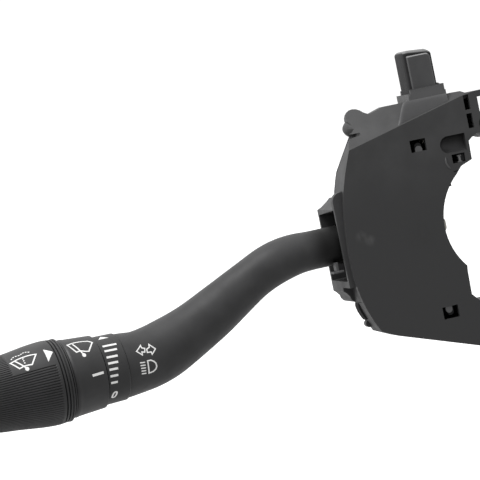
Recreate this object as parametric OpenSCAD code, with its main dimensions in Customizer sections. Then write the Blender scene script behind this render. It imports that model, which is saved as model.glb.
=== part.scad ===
// Steering column stalk switch: a C-shaped housing that reaches round the column, a turn
// signal and headlamp lever with a wiper dial and a wash knob on its end, and a hazard
// button on top. The origin is the column's axis in the mounting plane, +X points from the
// lever to the column, +Z is up and -Y points at the driver.

/* [Steering column] */
// Radius of the round opening that the column passes through
col_r = 23.6; // [22.6:0.2:24.6]
// Distance between the two mounting screws, one above and one below the column
screw_pitch = 67; // [66:0.5:68.5]
// Radius of each mounting screw hole
screw_r = 2.25; // [1.8:0.05:2.5]
// Radius of the hole in the cover that lets the screw head through
screw_access_r = 3.5; // [3.3:0.1:3.8]

/* [Housing] */
// Distance from the front face to the mounting plane
front_d = 20; // [19:0.5:22]
// Depth of the front cover
cover_d = 12.5; // [11.5:0.5:13.5]
// How far the deep part of the rear housing stands behind the mounting plane
rear_d = 12; // [11:0.5:14]
// Thickness of the moulded walls
wall = 2; // [1.6:0.1:2.4]
// How far the rear housing's rim is set in from the cover's edge
rim_inset = 1.7; // [1.4:0.1:1.8]
// Height of the top edge above the column axis
top_z = 46.8; // [46:0.2:48]
// Distance from the column axis to the widest point of the left edge
left_x = 60.4; // [60:0.1:61]
// How far the two arms reach past the column axis
arm_x = 8; // [7:0.5:12]
// Rise of the sloping top face for each millimetre that it goes back
top_slope = 0.8; // [0.6:0.05:1]

/* [Lever] */
// Height of the lever's root above the column axis
lever_z = 1.5; // [0.5:0.5:2.5]
// Distance from the mounting plane forward to the lever's axis
lever_d = 8; // [7.6:0.1:8.4]
// Radius of the lever at its root
lever_root_r = 7; // [6.4:0.1:7.2]
// Radius of the lever where it meets the dial
lever_tip_r = 11.5; // [11:0.1:12]
// Drop of the lever from its root to its outer end
lever_drop = 25.1; // [20.1:0.2:30.1]
// Distance from the column axis to the end of the lever tube
lever_end_x = 148.3; // [144:0.5:152]
// Angle by which the lever's outer end turns towards the driver
dial_yaw = 8; // [5:0.5:10]
// Distance from the column axis to the turn signal pivot
turn_x = 44; // [43.6:0.1:44.4]
// Swing of the lever each way for the turn signals, in degrees
turn_travel = 8; // [6:0.5:8.5]
// Radius of the two hinge pins
pin_r = 2; // [1.6:0.1:2.1]
// Radial clearance of a pin in its bore
pin_gap = 0.04; // [0.02:0.01:0.08]

/* [Dial and knob] */
// Width of the fixed band that carries the dial marks
band_w = 8.4; // [7.6:0.2:9]
// Width of the turning wiper collar
collar_w = 12; // [11:0.2:12.6]
// Largest radius of the wiper collar
collar_r = 14; // [13.4:0.1:14.4]
// Length of the wash knob
knob_len = 30; // [27:0.5:34]
// Largest radius of the wash knob
knob_r = 15; // [14.6:0.1:15.4]
// Number of grip ribs round the knob
knob_ribs = 44; // [30:1:52]
// Travel of the wash knob
wash_travel = 1; // [0.6:0.1:1.2]
// Radius of the spindle that the dial turns on
spindle_r = 5; // [4.6:0.1:5.2]

/* [Hazard button] */
// Distance from the column axis to the middle of the button
hazard_x = 20.2; // [19.8:0.1:20.6]
// Width of the button
hazard_w = 11; // [10.6:0.1:11.2]
// Depth of the button from front to back
hazard_depth = 12; // [11:0.2:12.2]
// Height of the button's top above the housing's top edge
hazard_h = 17.4; // [15:0.2:20]
// Travel of the button
hazard_travel = 5; // [3:0.5:5.5]
// Gap round the button in its collar
hazard_gap = 0.35; // [0.2:0.05:0.5]

/* [Hidden] */
eps = 0.01;

// Planes of the housing, from front to back
face_y = -front_d;
inner_face_y = face_y + wall;
seam_y = face_y + cover_d;
tray_y = -wall;
floor_y = rear_d - wall;

// Left edge: two arcs that meet at the widest point
bow_z = -7;
bow_upper_r = 144.5;
bow_lower_r = 51.3;
bow_lean = 0.125;
bow_lean_z = 21.5;
left_top_z = 38.9;
left_bottom_z = -31.6;
lobe_r = 3.55;
lobe_at = [-45.6, top_z - 2.2];

// Round lug below the lobe and the notch below it, cut back behind a sloping plane
lug_at = [-47.2, 41.4];
lug_r = 3.1;
lug_front_y = -14.6;
lug_cone_y = -9.6;
lug_back_y = -4;
lug_top_at = [-46.3, 43.8];
set_in_x = -46.6;
foot_lug_at = [-55.5, -28.6];
foot_lug_r = 1.4;
notch_low_z = 27;
notch_low_y = -8;
notch_rise = 0.8;

// Arms
arm_top_z = top_z - 1;
arm_under_z = 30.8;
low_arm_top_z = -28.3;
boss_r = screw_access_r + 1.2;
window_gap_at = [-2.3, 38];
window_gap_size = [6.3, 5.6];
screw_spots = [[0, screw_pitch / 2], [0, -screw_pitch / 2]];

// Deep part of the rear housing
deep_left = 7.6;
deep_right_x = -26;
deep_low_z = -24;
deep_high_z = 34;
board_posts = [[-46, -20.6], [-29.2, -20.6], [-42.6, 30.6], [-29.2, 30.6]];

// Snap windows: lower left corner, size and the tongue's place in each
window_spots = [[-30.3, 28.6], [-15.9, 21.8], [-30.5, -32.4]];
window_sizes = [[5.9, 4.4], [4.9, 3.2], [5.9, 4.4]];
tongue_w = 2.4;
tongue_tilts = [0, 90, 180];
tongue_shifts = [[0, 0], [0.7, 0], [0, 0]];
hook_gap = 0.15;

// Two slots in the upper arm and the channel cut into the face beside the column opening
slot_spots = [[-7.5, 33], [-7.5, 39.75]];
slot_size = [2.1, 5.3];
channel_x = [-19.4, -9.6];
channel_z = 28.8;
channel_r = 3.1;
channel_floor_y = face_y + 2.4;

// Screws that close the housing
close_spots = [[-42.6, 39.8], [-49, -27.5], [-6, -41]];
close_boss_r = 2.9;
close_shank_r = 1.4;
close_hole_r = 1.6;
close_head_r = 2.5;
close_head_h = 1.8;
close_sink = 1.9;
close_grip = 3;

// Mouth of the lever guard
guard_x = 62;
guard_in_x = 56.5;
guard_front_y = inner_face_y;
guard_back_y = 7;
mouth_lo = [guard_front_y + 1.6, -11.8];
mouth_hi = [5.6, 14.2];
mouth_back_z = 12.6;
guard_plate_d = 3;
guard_plate_z = 20.2;
guard_step_z = -14.2;
guard_step_y = -8;
rail_low_z = -20;
rail_high_z = 17.5;
guard_fit = 0.1;

// Lever axis and hinges
lever_y = -lever_d;
beam_x = turn_x + 11;
root_x = beam_x + 5.5;
knob_z = lever_z - lever_drop;
bend_from_x = 74;
straight_len = 4.3;
bend_len = lever_end_x - bend_from_x - straight_len;
swell_from_x = 76;
swell_len = 66;
lever_end_y = lever_y - tan(dial_yaw) * (lever_end_x - bend_from_x) / 2;
hub_r = 6;
hub_front_y = -13.6;
hub_back_y = -1;
tongue_half_w = 3;
tongue_top = 3.1;
tongue_bottom = 6.7;
ear_in = 7;
ear_out = 9.6;
pivot_nose_r = pin_r + 1.1;
slider_t = 0.8;

// Detent
plunger_r = 1.5;
plunger_len = 7;
plunger_tip_x = turn_x - 15.1;
detent_gap = 0.3;
track_r = turn_x - plunger_tip_x + detent_gap;

// Dial stack, each plane further from the column than the last
run_gap = 0.3;
band_end_x = lever_end_x + band_w;
band_wall_x = lever_end_x + 2.6;
collar_start_x = band_end_x + run_gap;
collar_end_x = collar_start_x + collar_w;
collar_bore_r = 11.4;
neck_r = 11.1;
web_t = 3;
rotor_t = 1.2;
ring_end_x = collar_end_x + 0.75;
knob_start_x = ring_end_x + wash_travel + 0.2;
knob_end_x = knob_start_x + knob_len;
neck_end_x = knob_start_x + 6;
hub_end_x = knob_start_x + 8;
clip_w = 1;
spindle_end_x = hub_end_x + 8;
spindle_start_x = lever_end_x - 15;
spindle_bore_r = 2.6;
rod_r = 2.2;
knob_cavity_end_x = knob_end_x - 3.5;

// Hazard button
hazard_front_y = -17;
hazard_mid_y = hazard_front_y + hazard_depth / 2;
hazard_top_z = top_z + hazard_h;
hazard_low_z = top_z + 0.7;
pad_t = 0.4;
collar_top_z = top_z + 4.1;
collar_side_z = top_z + 2.6;
collar_low_z = top_z - 6.8;
slider_w = 6;
slider_d = 5;
slider_low_z = 31;
hazard_seat_z = 18.3;
fixed_contact_z = [29, 36];

// Cancelling pawl
pawl_front_y = inner_face_y + 0.6;
pawl_t = 2.8;
pawl_h = 5;
pawl_z = 1;
pawl_tip_x = -col_r + 1.5;
pawl_tail_x = -34;

// Connectors
board_y = 4;
board_t = 1.6;
pin_pitch = 3.5;
terminal_w = 0.8;
shroud_d = 16;
shroud_w = 15;
main_cols = 6;
wiper_cols = 4;
main_at = [-35, -10];
wiper_at = [-35, 22];

// Draws a shape of the X-Z plane as a slab between two Y planes
module slab(y0, y1) {
    translate([0, y1, 0])
        rotate([90, 0, 0])
            linear_extrude(y1 - y0)
                children();
}

// Puts what is drawn along the X axis on the dial's axis, which turns towards the driver
module dial_frame() {
    translate([-lever_end_x, lever_end_y, knob_z])
        rotate([0, 0, dial_yaw])
            translate([lever_end_x, 0, 0])
                children();
}

// Turns a profile drawn as [radius, distance from the column] round the dial's axis
module dial_turned() {
    dial_frame()
        rotate([0, -90, 0])
            rotate_extrude($fn = 96)
                children();
}

// A round bar on the dial's axis
module dial_rod(x0, x1, r) {
    dial_frame()
        translate([-x1, 0, 0])
            rotate([0, 90, 0])
                cylinder(h = x1 - x0, r = r, $fn = 64);
}

// A round bar along Y at a place of the X-Z plane
module y_rod(at, y0, y1, r) {
    translate([at[0], y1, at[1]])
        rotate([90, 0, 0])
            cylinder(h = y1 - y0, r = r, $fn = 48);
}

// Helical spring of round wire that stands on the origin along Z
module coil(r, wire, h, turns) {
    sides = 6;
    per_turn = 14;
    rings = ceil(turns * per_turn);
    points = [
        for (i = [0:rings], s = [0:sides - 1])
            let (
                a = 360 * turns * i / rings,
                b = 360 * s / sides,
                c = r + wire * cos(b)
            )
            [c * cos(a), c * sin(a), wire + (h - 2 * wire) * i / rings + wire * sin(b)]
    ];
    skin = [
        for (i = [0:rings - 1], s = [0:sides - 1])
            let (t = (s + 1) % sides)
            [i * sides + s, i * sides + t, (i + 1) * sides + t, (i + 1) * sides + s]
    ];
    start = [for (s = [sides - 1:-1:0]) s];
    finish = [for (s = [0:sides - 1]) rings * sides + s];
    polyhedron(points, concat(skin, [start, finish]));
}

function bow(z) =
    let (r = z > bow_z ? bow_upper_r : bow_lower_r)
    -left_x + r - sqrt(r * r - pow(z - bow_z, 2)) + bow_lean * max(0, z - bow_lean_z);

function arc(at, r, a0, a1, n) =
    [for (i = [0:n]) let (a = a0 + (a1 - a0) * i / n) at + r * [cos(a), sin(a)]];

// Outline of the C-shaped housing in the X-Z plane
module housing_outline() {
    top = [
        [arm_x, arm_top_z], [-6, arm_top_z], [-7.5, top_z], [-35.5, top_z], [-40.8, top_z - 1.6]
    ];
    lobe = arc(lobe_at, lobe_r, 28, 188, 8);
    left = [
        [-48.2, 42.6], [-48, 41.4], [-48.5, 40.2], [-49.6, 39.2],
        for (i = [0:10]) let (z = left_top_z + (bow_z - left_top_z) * i / 10) [bow(z), z],
        for (i = [1:6]) let (z = bow_z + (left_bottom_z - bow_z) * i / 6) [bow(z), z]
    ];
    bottom = [[-48, -34.5], [-33.6, -38.8], [-19, -42.7], [-4, -46], [arm_x, -47.5]];
    low_arm = [[arm_x, low_arm_top_z], [-16.1, low_arm_top_z], [-18.6, -25.5], [-18.4, -17]];
    column = concat(arc([0, 0], col_r, 219.6, 131, 18), [[-13.1, 20.4], [-8.7, 22]]);
    high_arm = [
        [-8.5, arm_under_z - 2.1], [-7, arm_under_z - 1], [-5.4, arm_under_z - 0.1],
        [-4.6, arm_under_z], [arm_x, arm_under_z]
    ];
    difference() {
        union() {
            polygon(concat(top, lobe, left, bottom, low_arm, column, high_arm));
            for (spot = screw_spots)
                translate(spot)
                    circle(r = boss_r, $fn = 48);
        }
        translate(window_gap_at)
            square(window_gap_size);
    }
}

// Everything above the sloping top face, lowered by a distance square to the face
module above_slope(lower = 0) {
    edge_rise = atan(0.173);
    face_tilt = atan(top_slope * cos(edge_rise));
    translate([-53.7, face_y, top_z - 9.7])
        rotate([0, -edge_rise, 0])
            rotate([face_tilt, 0, 0])
                translate([-20, -30, -lower])
                    cube([110, 90, 40]);
}

// Corner of both halves that stays solid, so that the notch doesn't open the housing
module solid_corner() {
    polygon([
        [-left_x, notch_low_z - 0.5], [-53, notch_low_z - 0.5], [-44, notch_low_z + 9.5],
        [-38, notch_low_z + 9.5], [-38, top_z + 4], [-left_x, top_z + 4]
    ]);
}

// Notch in the left side between the lug and the guard, deeper in y the higher it is
module side_notch() {
    intersection() {
        slab(face_y, 1)
            polygon([
                [-left_x - 2, notch_low_z], [-53.8, notch_low_z], [-48.9, 34.8],
                [-46.7, 38.3], [-46.7, left_top_z + 0.6], [-left_x - 2, left_top_z + 0.6]
            ]);
        translate([-left_x - 3, notch_low_y, notch_low_z])
            rotate([atan(notch_rise), 0, 0])
                translate([0, 0, -30])
                    cube([20, 30, 60]);
    }
}

// Round lugs of the cover's side, of which the upper two narrow towards the front
module side_lug() {
    for (spot = [[lug_at, lug_r], [lug_top_at, lug_r - 0.6]]) {
        y_rod(spot[0], lug_cone_y, seam_y, spot[1]);
        translate([spot[0][0], lug_cone_y, spot[0][1]])
            rotate([90, 0, 0])
                cylinder(h = lug_cone_y - lug_front_y, r1 = spot[1], r2 = 1, $fn = 48);
    }
    y_rod(foot_lug_at, seam_y - 3, seam_y, foot_lug_r);
}

// Outline of the guard: a sloping shoulder above the mouth and a scalloped one below it
module guard_outline() {
    low = mouth_lo[1];
    shoulder_z = 18.1;
    scallop_r = 2.6;
    polygon(concat(
        [
            [-guard_in_x, shoulder_z], [-guard_in_x - 1.4, shoulder_z - 1.2],
            [-guard_x + 1.6, shoulder_z - 2.9], [-guard_x, shoulder_z - 3.6],
            [-guard_x, low - 3.8], [-guard_x + 0.9, low - 4.6]
        ],
        arc([-guard_x + 2 + scallop_r, low - 6], scallop_r, 180, 270, 6),
        [[-guard_in_x, low - 6 - scallop_r]]
    ));
}

// Round-cornered plate at the front of the guard
module guard_plate_outline() {
    corner_r = 3.2;
    polygon(concat(
        [[-guard_in_x, guard_plate_z]],
        arc([-guard_x + corner_r, guard_plate_z - corner_r], corner_r, 90, 180, 6),
        [[-guard_x, mouth_hi[1] - 2], [-guard_in_x, mouth_hi[1] - 2]]
    ));
}

// Room for the guard's mouth, whose upper edge falls towards the back
module mouth_cut(x0, x1, y1) {
    drop = (mouth_hi[1] - mouth_back_z) / (mouth_hi[0] - mouth_lo[0]);
    translate([x0, 0, 0])
        rotate([90, 0, 90])
            linear_extrude(x1 - x0)
                polygon([
                    mouth_lo, [y1, mouth_lo[1]],
                    [y1, mouth_hi[1] - drop * (y1 - mouth_lo[0])], [mouth_lo[0], mouth_hi[1]]
                ]);
}

// Round-ended tongue of a snap hook, centred on the middle of its window
module hook_outline(i) {
    at = window_spots[i] + window_sizes[i] / 2 + tongue_shifts[i];
    drop = min(window_sizes[i]) / 2;
    translate(at)
        rotate(tongue_tilts[i]) {
            translate([0, -0.2])
                circle(r = tongue_w / 2, $fn = 32);
            translate([-tongue_w / 2, -drop + 0.1])
                square([tongue_w, drop - 0.3]);
        }
}

// Half-round channel with a ball end on its left
module channel_cut() {
    x0 = channel_x[0] + channel_r;
    translate([x0, channel_floor_y, channel_z])
        rotate([0, 90, 0])
            cylinder(h = channel_x[1] - x0, r = channel_r, $fn = 48);
    translate([x0, channel_floor_y, channel_z])
        sphere(r = channel_r, $fn = 48);
    slab(face_y - 1, channel_floor_y)
        union() {
            translate([x0, channel_z])
                circle(r = channel_r, $fn = 48);
            translate([x0, channel_z - channel_r])
                square([channel_x[1] - x0, 2 * channel_r]);
        }
}

module front_cover() {
    color("#46474a")
        difference() {
            union() {
                difference() {
                    slab(face_y, seam_y)
                        housing_outline();
                    slab(inner_face_y, seam_y + 1)
                        difference() {
                            offset(delta = -wall)
                                housing_outline();
                            for (spot = screw_spots)
                                translate(spot)
                                    circle(r = boss_r, $fn = 48);
                            for (spot = close_spots)
                                translate(spot)
                                    circle(r = close_boss_r, $fn = 32);
                            solid_corner();
                        }
                    side_notch();
                }
                side_lug();
                intersection() {
                    slab(face_y, seam_y)
                        offset(delta = -0.2)
                            housing_outline();
                    intersection() {
                        above_slope(wall);
                        translate([-46, face_y, 30])
                            cube([51, cover_d, 30]);
                    }
                }
                translate([channel_x[0] - 2, inner_face_y - 0.5, channel_z - channel_r - 0.6])
                    cube([channel_x[1] - channel_x[0] + 3, 5, 2 * channel_r + 1.9]);
                translate([-hazard_x - 2.5, inner_face_y - 0.5, hazard_seat_z - 4.3])
                    cube([5, hazard_mid_y - inner_face_y + 3, 4.3]);
                y_rod([-turn_x, lever_z], inner_face_y - 0.5, hub_front_y - 0.4, 3.6);
                for (side = [-1, 1])
                    translate([pawl_tail_x, inner_face_y - 0.5, pawl_z + side * 3.5 - 0.6])
                        cube([9, 3.9, 1.2]);
            }
            above_slope();
            channel_cut();
            for (i = [0:2])
                slab(face_y - 1, inner_face_y + 0.5)
                    translate(window_spots[i])
                        square(window_sizes[i]);
            slab(inner_face_y, seam_y + 1)
                offset(delta = hook_gap)
                    hook_outline(1);
            for (spot = slot_spots)
                slab(face_y - 1, inner_face_y + 0.5)
                    translate(spot)
                        square(slot_size);
            for (spot = screw_spots)
                y_rod(spot, face_y - 1, seam_y + 1, screw_access_r);
            for (spot = close_spots)
                y_rod(spot, seam_y - close_grip - 0.4, seam_y + 1, close_shank_r + 0.05);
            y_rod([-turn_x, lever_z], inner_face_y + 0.2, 0, pin_r + pin_gap);
            slab(guard_front_y - eps, seam_y + 1)
                offset(delta = guard_fit)
                    guard_outline();
            slab(guard_front_y - eps, guard_front_y + guard_plate_d + guard_fit)
                offset(delta = guard_fit)
                    guard_plate_outline();
            mouth_cut(-guard_in_x - 3, -guard_in_x + 3, seam_y + 1);
            translate([-col_r - 6, pawl_front_y - 0.3, pawl_z - pawl_h / 2 - 0.3])
                cube([10, pawl_t + 0.6, pawl_h + 0.6]);
            hazard_collar_block(0.1);
        }
}

module rear_housing() {
    color("#3a3b3d")
        difference() {
            union() {
                difference() {
                    slab(seam_y, 0)
                        offset(delta = -rim_inset)
                            housing_outline();
                    slab(seam_y - 1, tray_y)
                        difference() {
                            offset(delta = -rim_inset - wall)
                                housing_outline();
                            for (spot = concat(screw_spots, close_spots))
                                translate(spot)
                                    circle(r = close_boss_r + 2, $fn = 48);
                            solid_corner();
                        }
                    side_notch();
                    slab(seam_y - 1, 1)
                        polygon([
                            [-left_x, left_top_z], [set_in_x, left_top_z], [set_in_x, top_z - 2.3],
                            [set_in_x + 1.4, top_z - 0.8], [set_in_x + 1.4, top_z + 4], [-left_x, top_z + 4]
                        ]);
                }
                y_rod(lug_at, seam_y, lug_back_y, lug_r - 0.8);
                for (spot = screw_spots)
                    y_rod(spot, seam_y, 0, boss_r - 0.45);
                slab(-wall, rear_d)
                    deep_outline();
                slab(-wall, guard_back_y)
                    translate([-guard_in_x, rail_low_z])
                        square([wall, rail_high_z - rail_low_z]);
                for (i = [0:2])
                    slab(face_y + 0.7, -wall / 2)
                        hook_outline(i);
            }
            slab(-wall - 1, floor_y)
                offset(delta = -wall)
                    deep_outline();
            for (spot = screw_spots)
                y_rod(spot, seam_y - 1, 1, screw_r);
            for (spot = close_spots)
                y_rod(spot, seam_y - 1, 1, close_hole_r);
            for (spot = close_spots)
                y_rod(spot, -close_sink, 1, close_head_r + 0.3);
            slab(seam_y - 1, guard_back_y + guard_fit)
                offset(delta = guard_fit)
                    guard_outline();
            mouth_cut(-guard_in_x - 3, -guard_in_x + 3, tray_y);
            connector_cut(main_at, main_cols);
            connector_cut(wiper_at, wiper_cols);
            hazard_collar_block(0.1);
        }
    color("#3a3b3d")
        difference() {
            union() {
                y_rod([-turn_x, lever_z], board_y + board_t + 0.4, floor_y + eps, 4.2);
                y_rod([-turn_x, lever_z], hub_back_y + slider_t + 0.3, floor_y, pivot_nose_r);
                for (spot = board_posts)
                    y_rod(spot, board_y + board_t, floor_y + eps, 1.6);
                translate([deep_right_x - 5.6, -wall, lever_z - 6])
                    cube([5, wall, 12]);
            }
            y_rod([-turn_x, lever_z], hub_back_y, floor_y + 1, pin_r + pin_gap);
        }
}

// Outline of the deep part, which follows the left edge
module deep_outline() {
    rise = (deep_high_z - deep_low_z) / 12;
    polygon(concat(
        [for (i = [0:12]) let (z = deep_low_z + rise * i) [bow(z) + deep_left, z]],
        [[deep_right_x, deep_high_z], [deep_right_x, deep_low_z]]
    ));
}

module connector_cut(at, cols) {
    size = [shroud_w - 3, (cols - 1) * pin_pitch + 4];
    slab(floor_y - 1, rear_d + 1)
        translate(at - size / 2)
            square(size);
}

module lever_guard() {
    color("#5a5b5e")
        difference() {
            union() {
                slab(guard_front_y, guard_back_y)
                    guard_outline();
                slab(guard_front_y, guard_front_y + guard_plate_d)
                    guard_plate_outline();
            }
            mouth_cut(-guard_x - 5, -guard_in_x + 5, mouth_hi[0]);
            translate([-guard_x - 1, guard_front_y - 1, guard_step_z - 8])
                cube([guard_x - guard_in_x - 1, guard_step_y - guard_front_y + 1, 8]);
        }
}

module contact_board() {
    color("#6f5a32")
        difference() {
            slab(board_y, board_y + board_t)
                offset(delta = -wall - 0.5)
                    deep_outline();
            y_rod([-turn_x, lever_z], board_y - 1, board_y + board_t + 1, pivot_nose_r + 0.3);
            terminal_grid(main_at, main_cols, board_y - 1, board_y + board_t + 1, 0.05);
            terminal_grid(wiper_at, wiper_cols, board_y - 1, board_y + board_t + 1, 0.05);
        }
}

// Two rows of square terminals through the board
module terminal_grid(at, cols, y0, y1, gap = 0) {
    w = terminal_w + 2 * gap;
    for (row = [-1, 1], i = [0:cols - 1])
        translate([
            at[0] + row * pin_pitch - w / 2, y0,
            at[1] + (i - (cols - 1) / 2) * pin_pitch - w / 2
        ])
            cube([w, y1 - y0, w]);
}

// Socket for the plug: a base plate in the housing's floor and a wall round the terminals
module connector(at, cols) {
    inner = [shroud_w - 3, (cols - 1) * pin_pitch + 6];
    outer = inner + [3, 3];
    base = [shroud_w - 3, (cols - 1) * pin_pitch + 4] - [0.1, 0.1];
    difference() {
        union() {
            slab(floor_y, rear_d)
                translate(at - base / 2)
                    square(base);
            slab(rear_d, rear_d + shroud_d)
                translate(at - outer / 2)
                    square(outer);
        }
        slab(rear_d + wall, rear_d + shroud_d + 1)
            translate(at - inner / 2)
                square(inner);
        terminal_grid(at, cols, floor_y - 1, rear_d + wall + 1, 0.05);
        translate([at[0] - outer[0] / 2 - 1, rear_d + shroud_d - 5, at[1] - 2])
            cube([3, 3, 4]);
    }
}

module main_connector() {
    color("#2c2d2f")
        connector(main_at, main_cols);
}

module wiper_connector() {
    color("#2c2d2f")
        connector(wiper_at, wiper_cols);
}

module main_terminals() {
    color("#c8b27a")
        terminal_grid(main_at, main_cols, board_y - 0.2, rear_d + wall + 8.4);
}

module wiper_terminals() {
    color("#c8b27a")
        terminal_grid(wiper_at, wiper_cols, board_y - 0.2, rear_d + wall + 8.4);
}

module cover_screws() {
    color("#a9abae")
        for (spot = close_spots)
            difference() {
                union() {
                    y_rod(spot, -close_sink, -close_sink + close_head_h, close_head_r);
                    y_rod(spot, seam_y - close_grip, -close_sink + 0.1, close_shank_r);
                }
                for (turn = [0, 90])
                    translate([spot[0], -close_sink + close_head_h, spot[1]])
                        rotate([0, turn, 0])
                            cube([2.8, close_head_h, 0.6], center = true);
            }
}

module turn_pivot_pin() {
    color("#b4b6ba")
        y_rod([-turn_x, lever_z], inner_face_y + 0.3, floor_y - 0.1, pin_r);
}

// Curved track that the plunger clicks along, with a notch for each lever position
module detent_track() {
    notch_depth = 0.6;
    color("#d8d6cf")
        difference() {
            translate([-plunger_tip_x - 2.4, lever_y - 3, lever_z - 5.5])
                cube([3.9, tray_y - lever_y + 3, 11]);
            y_rod([-turn_x, lever_z], lever_y - 4, 0, track_r);
            for (a = [-turn_travel, 0, turn_travel])
                translate([-turn_x, 0, lever_z])
                    rotate([0, a, 0])
                        y_rod([track_r - plunger_r + notch_depth, 0], lever_y - 4, 0, plunger_r);
        }
}

// Rectangle of the collar seen from above
module hazard_collar_block(gap = 0) {
    w = hazard_w + 3.6 + 2 * gap;
    front = hazard_front_y - pad_t - hazard_gap - 1.1 - gap;
    back = hazard_front_y + hazard_depth + hazard_gap + 1.1 + gap;
    step_front = inner_face_y + 0.15 - gap;
    translate([-hazard_x - w / 2, step_front, collar_low_z - gap])
        cube([w, back - step_front, collar_top_z - collar_low_z]);
    translate([-hazard_x - w / 2, front, top_z - 3.2 - gap])
        cube([w, back - front, 5 + gap]);
}

module hazard_collar() {
    w = hazard_w + 3.6;
    front = hazard_front_y - pad_t - hazard_gap - 1.1;
    back = hazard_front_y + hazard_depth + hazard_gap + 1.1;
    color("#4d4e51")
        difference() {
            union() {
                hazard_collar_block();
                hull()
                    for (x = [-w / 2 + 1.2, w / 2 - 1.2], y = [front + 1.2, back - 1.2])
                        translate([-hazard_x + x, y, top_z])
                            cylinder(h = collar_top_z - top_z - 0.4, r = 1.2, $fn = 24);
                translate([-hazard_x + w / 2 - 1.5, hazard_mid_y - 3, collar_top_z - 1.1])
                    rotate([-90, 0, 0])
                        cylinder(h = 6, r = 1.7, $fn = 32);
            }
            translate([
                -hazard_x - hazard_w / 2 - hazard_gap, hazard_front_y - pad_t - hazard_gap,
                collar_low_z - 1
            ])
                cube([hazard_w + 2 * hazard_gap, hazard_depth + pad_t + 2 * hazard_gap, 30]);
            translate([-hazard_x - w / 2 - 1, front - 1, collar_side_z])
                cube([w / 2 - hazard_w / 2 - hazard_gap + 1, back - front + 2, 6]);
            translate([-hazard_x - w / 2 - 1, hazard_mid_y, collar_side_z])
                cube([w / 2 - hazard_w / 2 + 1.4, back - hazard_mid_y + 1, 6]);
            translate([-hazard_x - w / 2 - 1, front - 1, top_z - 1])
                cube([1.5, back - front + 2, 6]);
        }
}

module hazard_latch_pin() {
    color("#b4b6ba")
        y_rod([-hazard_x, slider_low_z + 4], hazard_mid_y + slider_d / 2 - 0.5, tray_y, 0.6);
}

module hazard_fixed_contacts() {
    color("#c8a45a")
        for (z = fixed_contact_z)
            translate([-hazard_x + slider_w / 2 + 1.3, hazard_mid_y - 2, z])
                cube([0.6, tray_y - hazard_mid_y + 2, 2.4]);
}

module hazard_spring() {
    color("#b4b6ba")
        translate([-hazard_x, hazard_mid_y, hazard_seat_z])
            coil(2, 0.35, slider_low_z - hazard_seat_z, 7);
}

module pawl_spring() {
    x0 = -turn_x + 3.6;
    color("#b4b6ba")
        translate([x0, pawl_front_y + pawl_t / 2, pawl_z])
            rotate([0, 90, 0])
                coil(0.95, 0.25, pawl_tail_x - x0, 6);
}

// Block that the lever swings up and down with: hub, fork ears and plunger housing
module turn_carrier() {
    ear_d = 9;
    color("#d8d6cf")
        difference() {
            union() {
                y_rod([-turn_x, lever_z], hub_front_y, hub_back_y, hub_r);
                for (side = [-1, 1])
                    translate([
                        -beam_x - 3.5, lever_y - ear_d / 2,
                        lever_z + side * (ear_in + ear_out) / 2 - (ear_out - ear_in) / 2
                    ])
                        cube([beam_x + 3.5 - turn_x, ear_d, ear_out - ear_in]);
                for (side = [-1, 1])
                    translate([
                        -turn_x - 4.5, lever_y - ear_d / 2,
                        lever_z + (side > 0 ? 0 : -ear_out)
                    ])
                        cube([6, ear_d, ear_out]);
                translate([-turn_x, lever_y - 3.2, lever_z - 3.2])
                    cube([13, 6.4, 6.4]);
            }
            y_rod([-turn_x, lever_z], hub_front_y - 1, hub_back_y + 1, pin_r + pin_gap);
            translate([-beam_x, lever_y, lever_z - ear_out - 1])
                cylinder(h = 2 * ear_out + 2, r = pin_r + pin_gap, $fn = 48);
            translate([-turn_x + 2.9, lever_y, lever_z])
                rotate([0, 90, 0])
                    cylinder(h = 12, r = plunger_r + 0.05, $fn = 48);
        }
}

module beam_pivot_pin() {
    color("#b4b6ba")
        translate([-beam_x, lever_y, lever_z - ear_out])
            cylinder(h = 2 * ear_out, r = pin_r, $fn = 48);
}

module turn_contact_slider() {
    color("#c8a45a") {
        slab(hub_back_y, hub_back_y + slider_t)
            difference() {
                translate([-turn_x - 4, lever_z - 9])
                    square([8, 18]);
                translate([-turn_x, lever_z])
                    circle(r = pin_r + 0.3, $fn = 32);
            }
        for (x = [-2.8, 2.8], z = [-7, 7])
            y_rod([-turn_x + x, lever_z + z], hub_back_y + slider_t - 0.1, board_y - 0.3, 1);
    }
}

module detent_spring() {
    x0 = -turn_x + 2.9;
    color("#b4b6ba")
        translate([x0, lever_y, lever_z])
            rotate([0, 90, 0])
                coil(1.05, 0.25, -plunger_tip_x - plunger_len - x0, 5);
}

// Spring round the hinge pin that brings the lever back after a flash
module flash_return_spring() {
    color("#b4b6ba")
        translate([-beam_x, lever_y, lever_z + tongue_top])
            coil(2.8, 0.4, ear_in - tongue_top, 4);
}

module detent_plunger() {
    color("#e4e2da")
        translate([-plunger_tip_x, lever_y, lever_z])
            rotate([0, -90, 0]) {
                translate([0, 0, plunger_r])
                    cylinder(h = plunger_len - plunger_r, r = plunger_r, $fn = 48);
                translate([0, 0, plunger_r])
                    sphere(r = plunger_r, $fn = 48);
            }
}

function ease(t) =
    let (u = min(1, max(0, t)))
    u * u * (3 - 2 * u);

function lever_axis_z(x) = lever_z - lever_drop * ease((x - bend_from_x) / bend_len);

function lever_axis_y(x) =
    lever_y - tan(dial_yaw) * pow(max(0, x - bend_from_x), 2) / (lever_end_x - bend_from_x) / 2;

function lever_axis(x) = [-x, lever_axis_y(x), lever_axis_z(x)];

function lever_radius(x) =
    lever_root_r
    + (lever_tip_r - 0.6 - lever_root_r) * ease((x - swell_from_x) / swell_len)
    + 0.6 * ease((x - lever_end_x + 8) / 8);

function unit(v) = v / norm(v);

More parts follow.
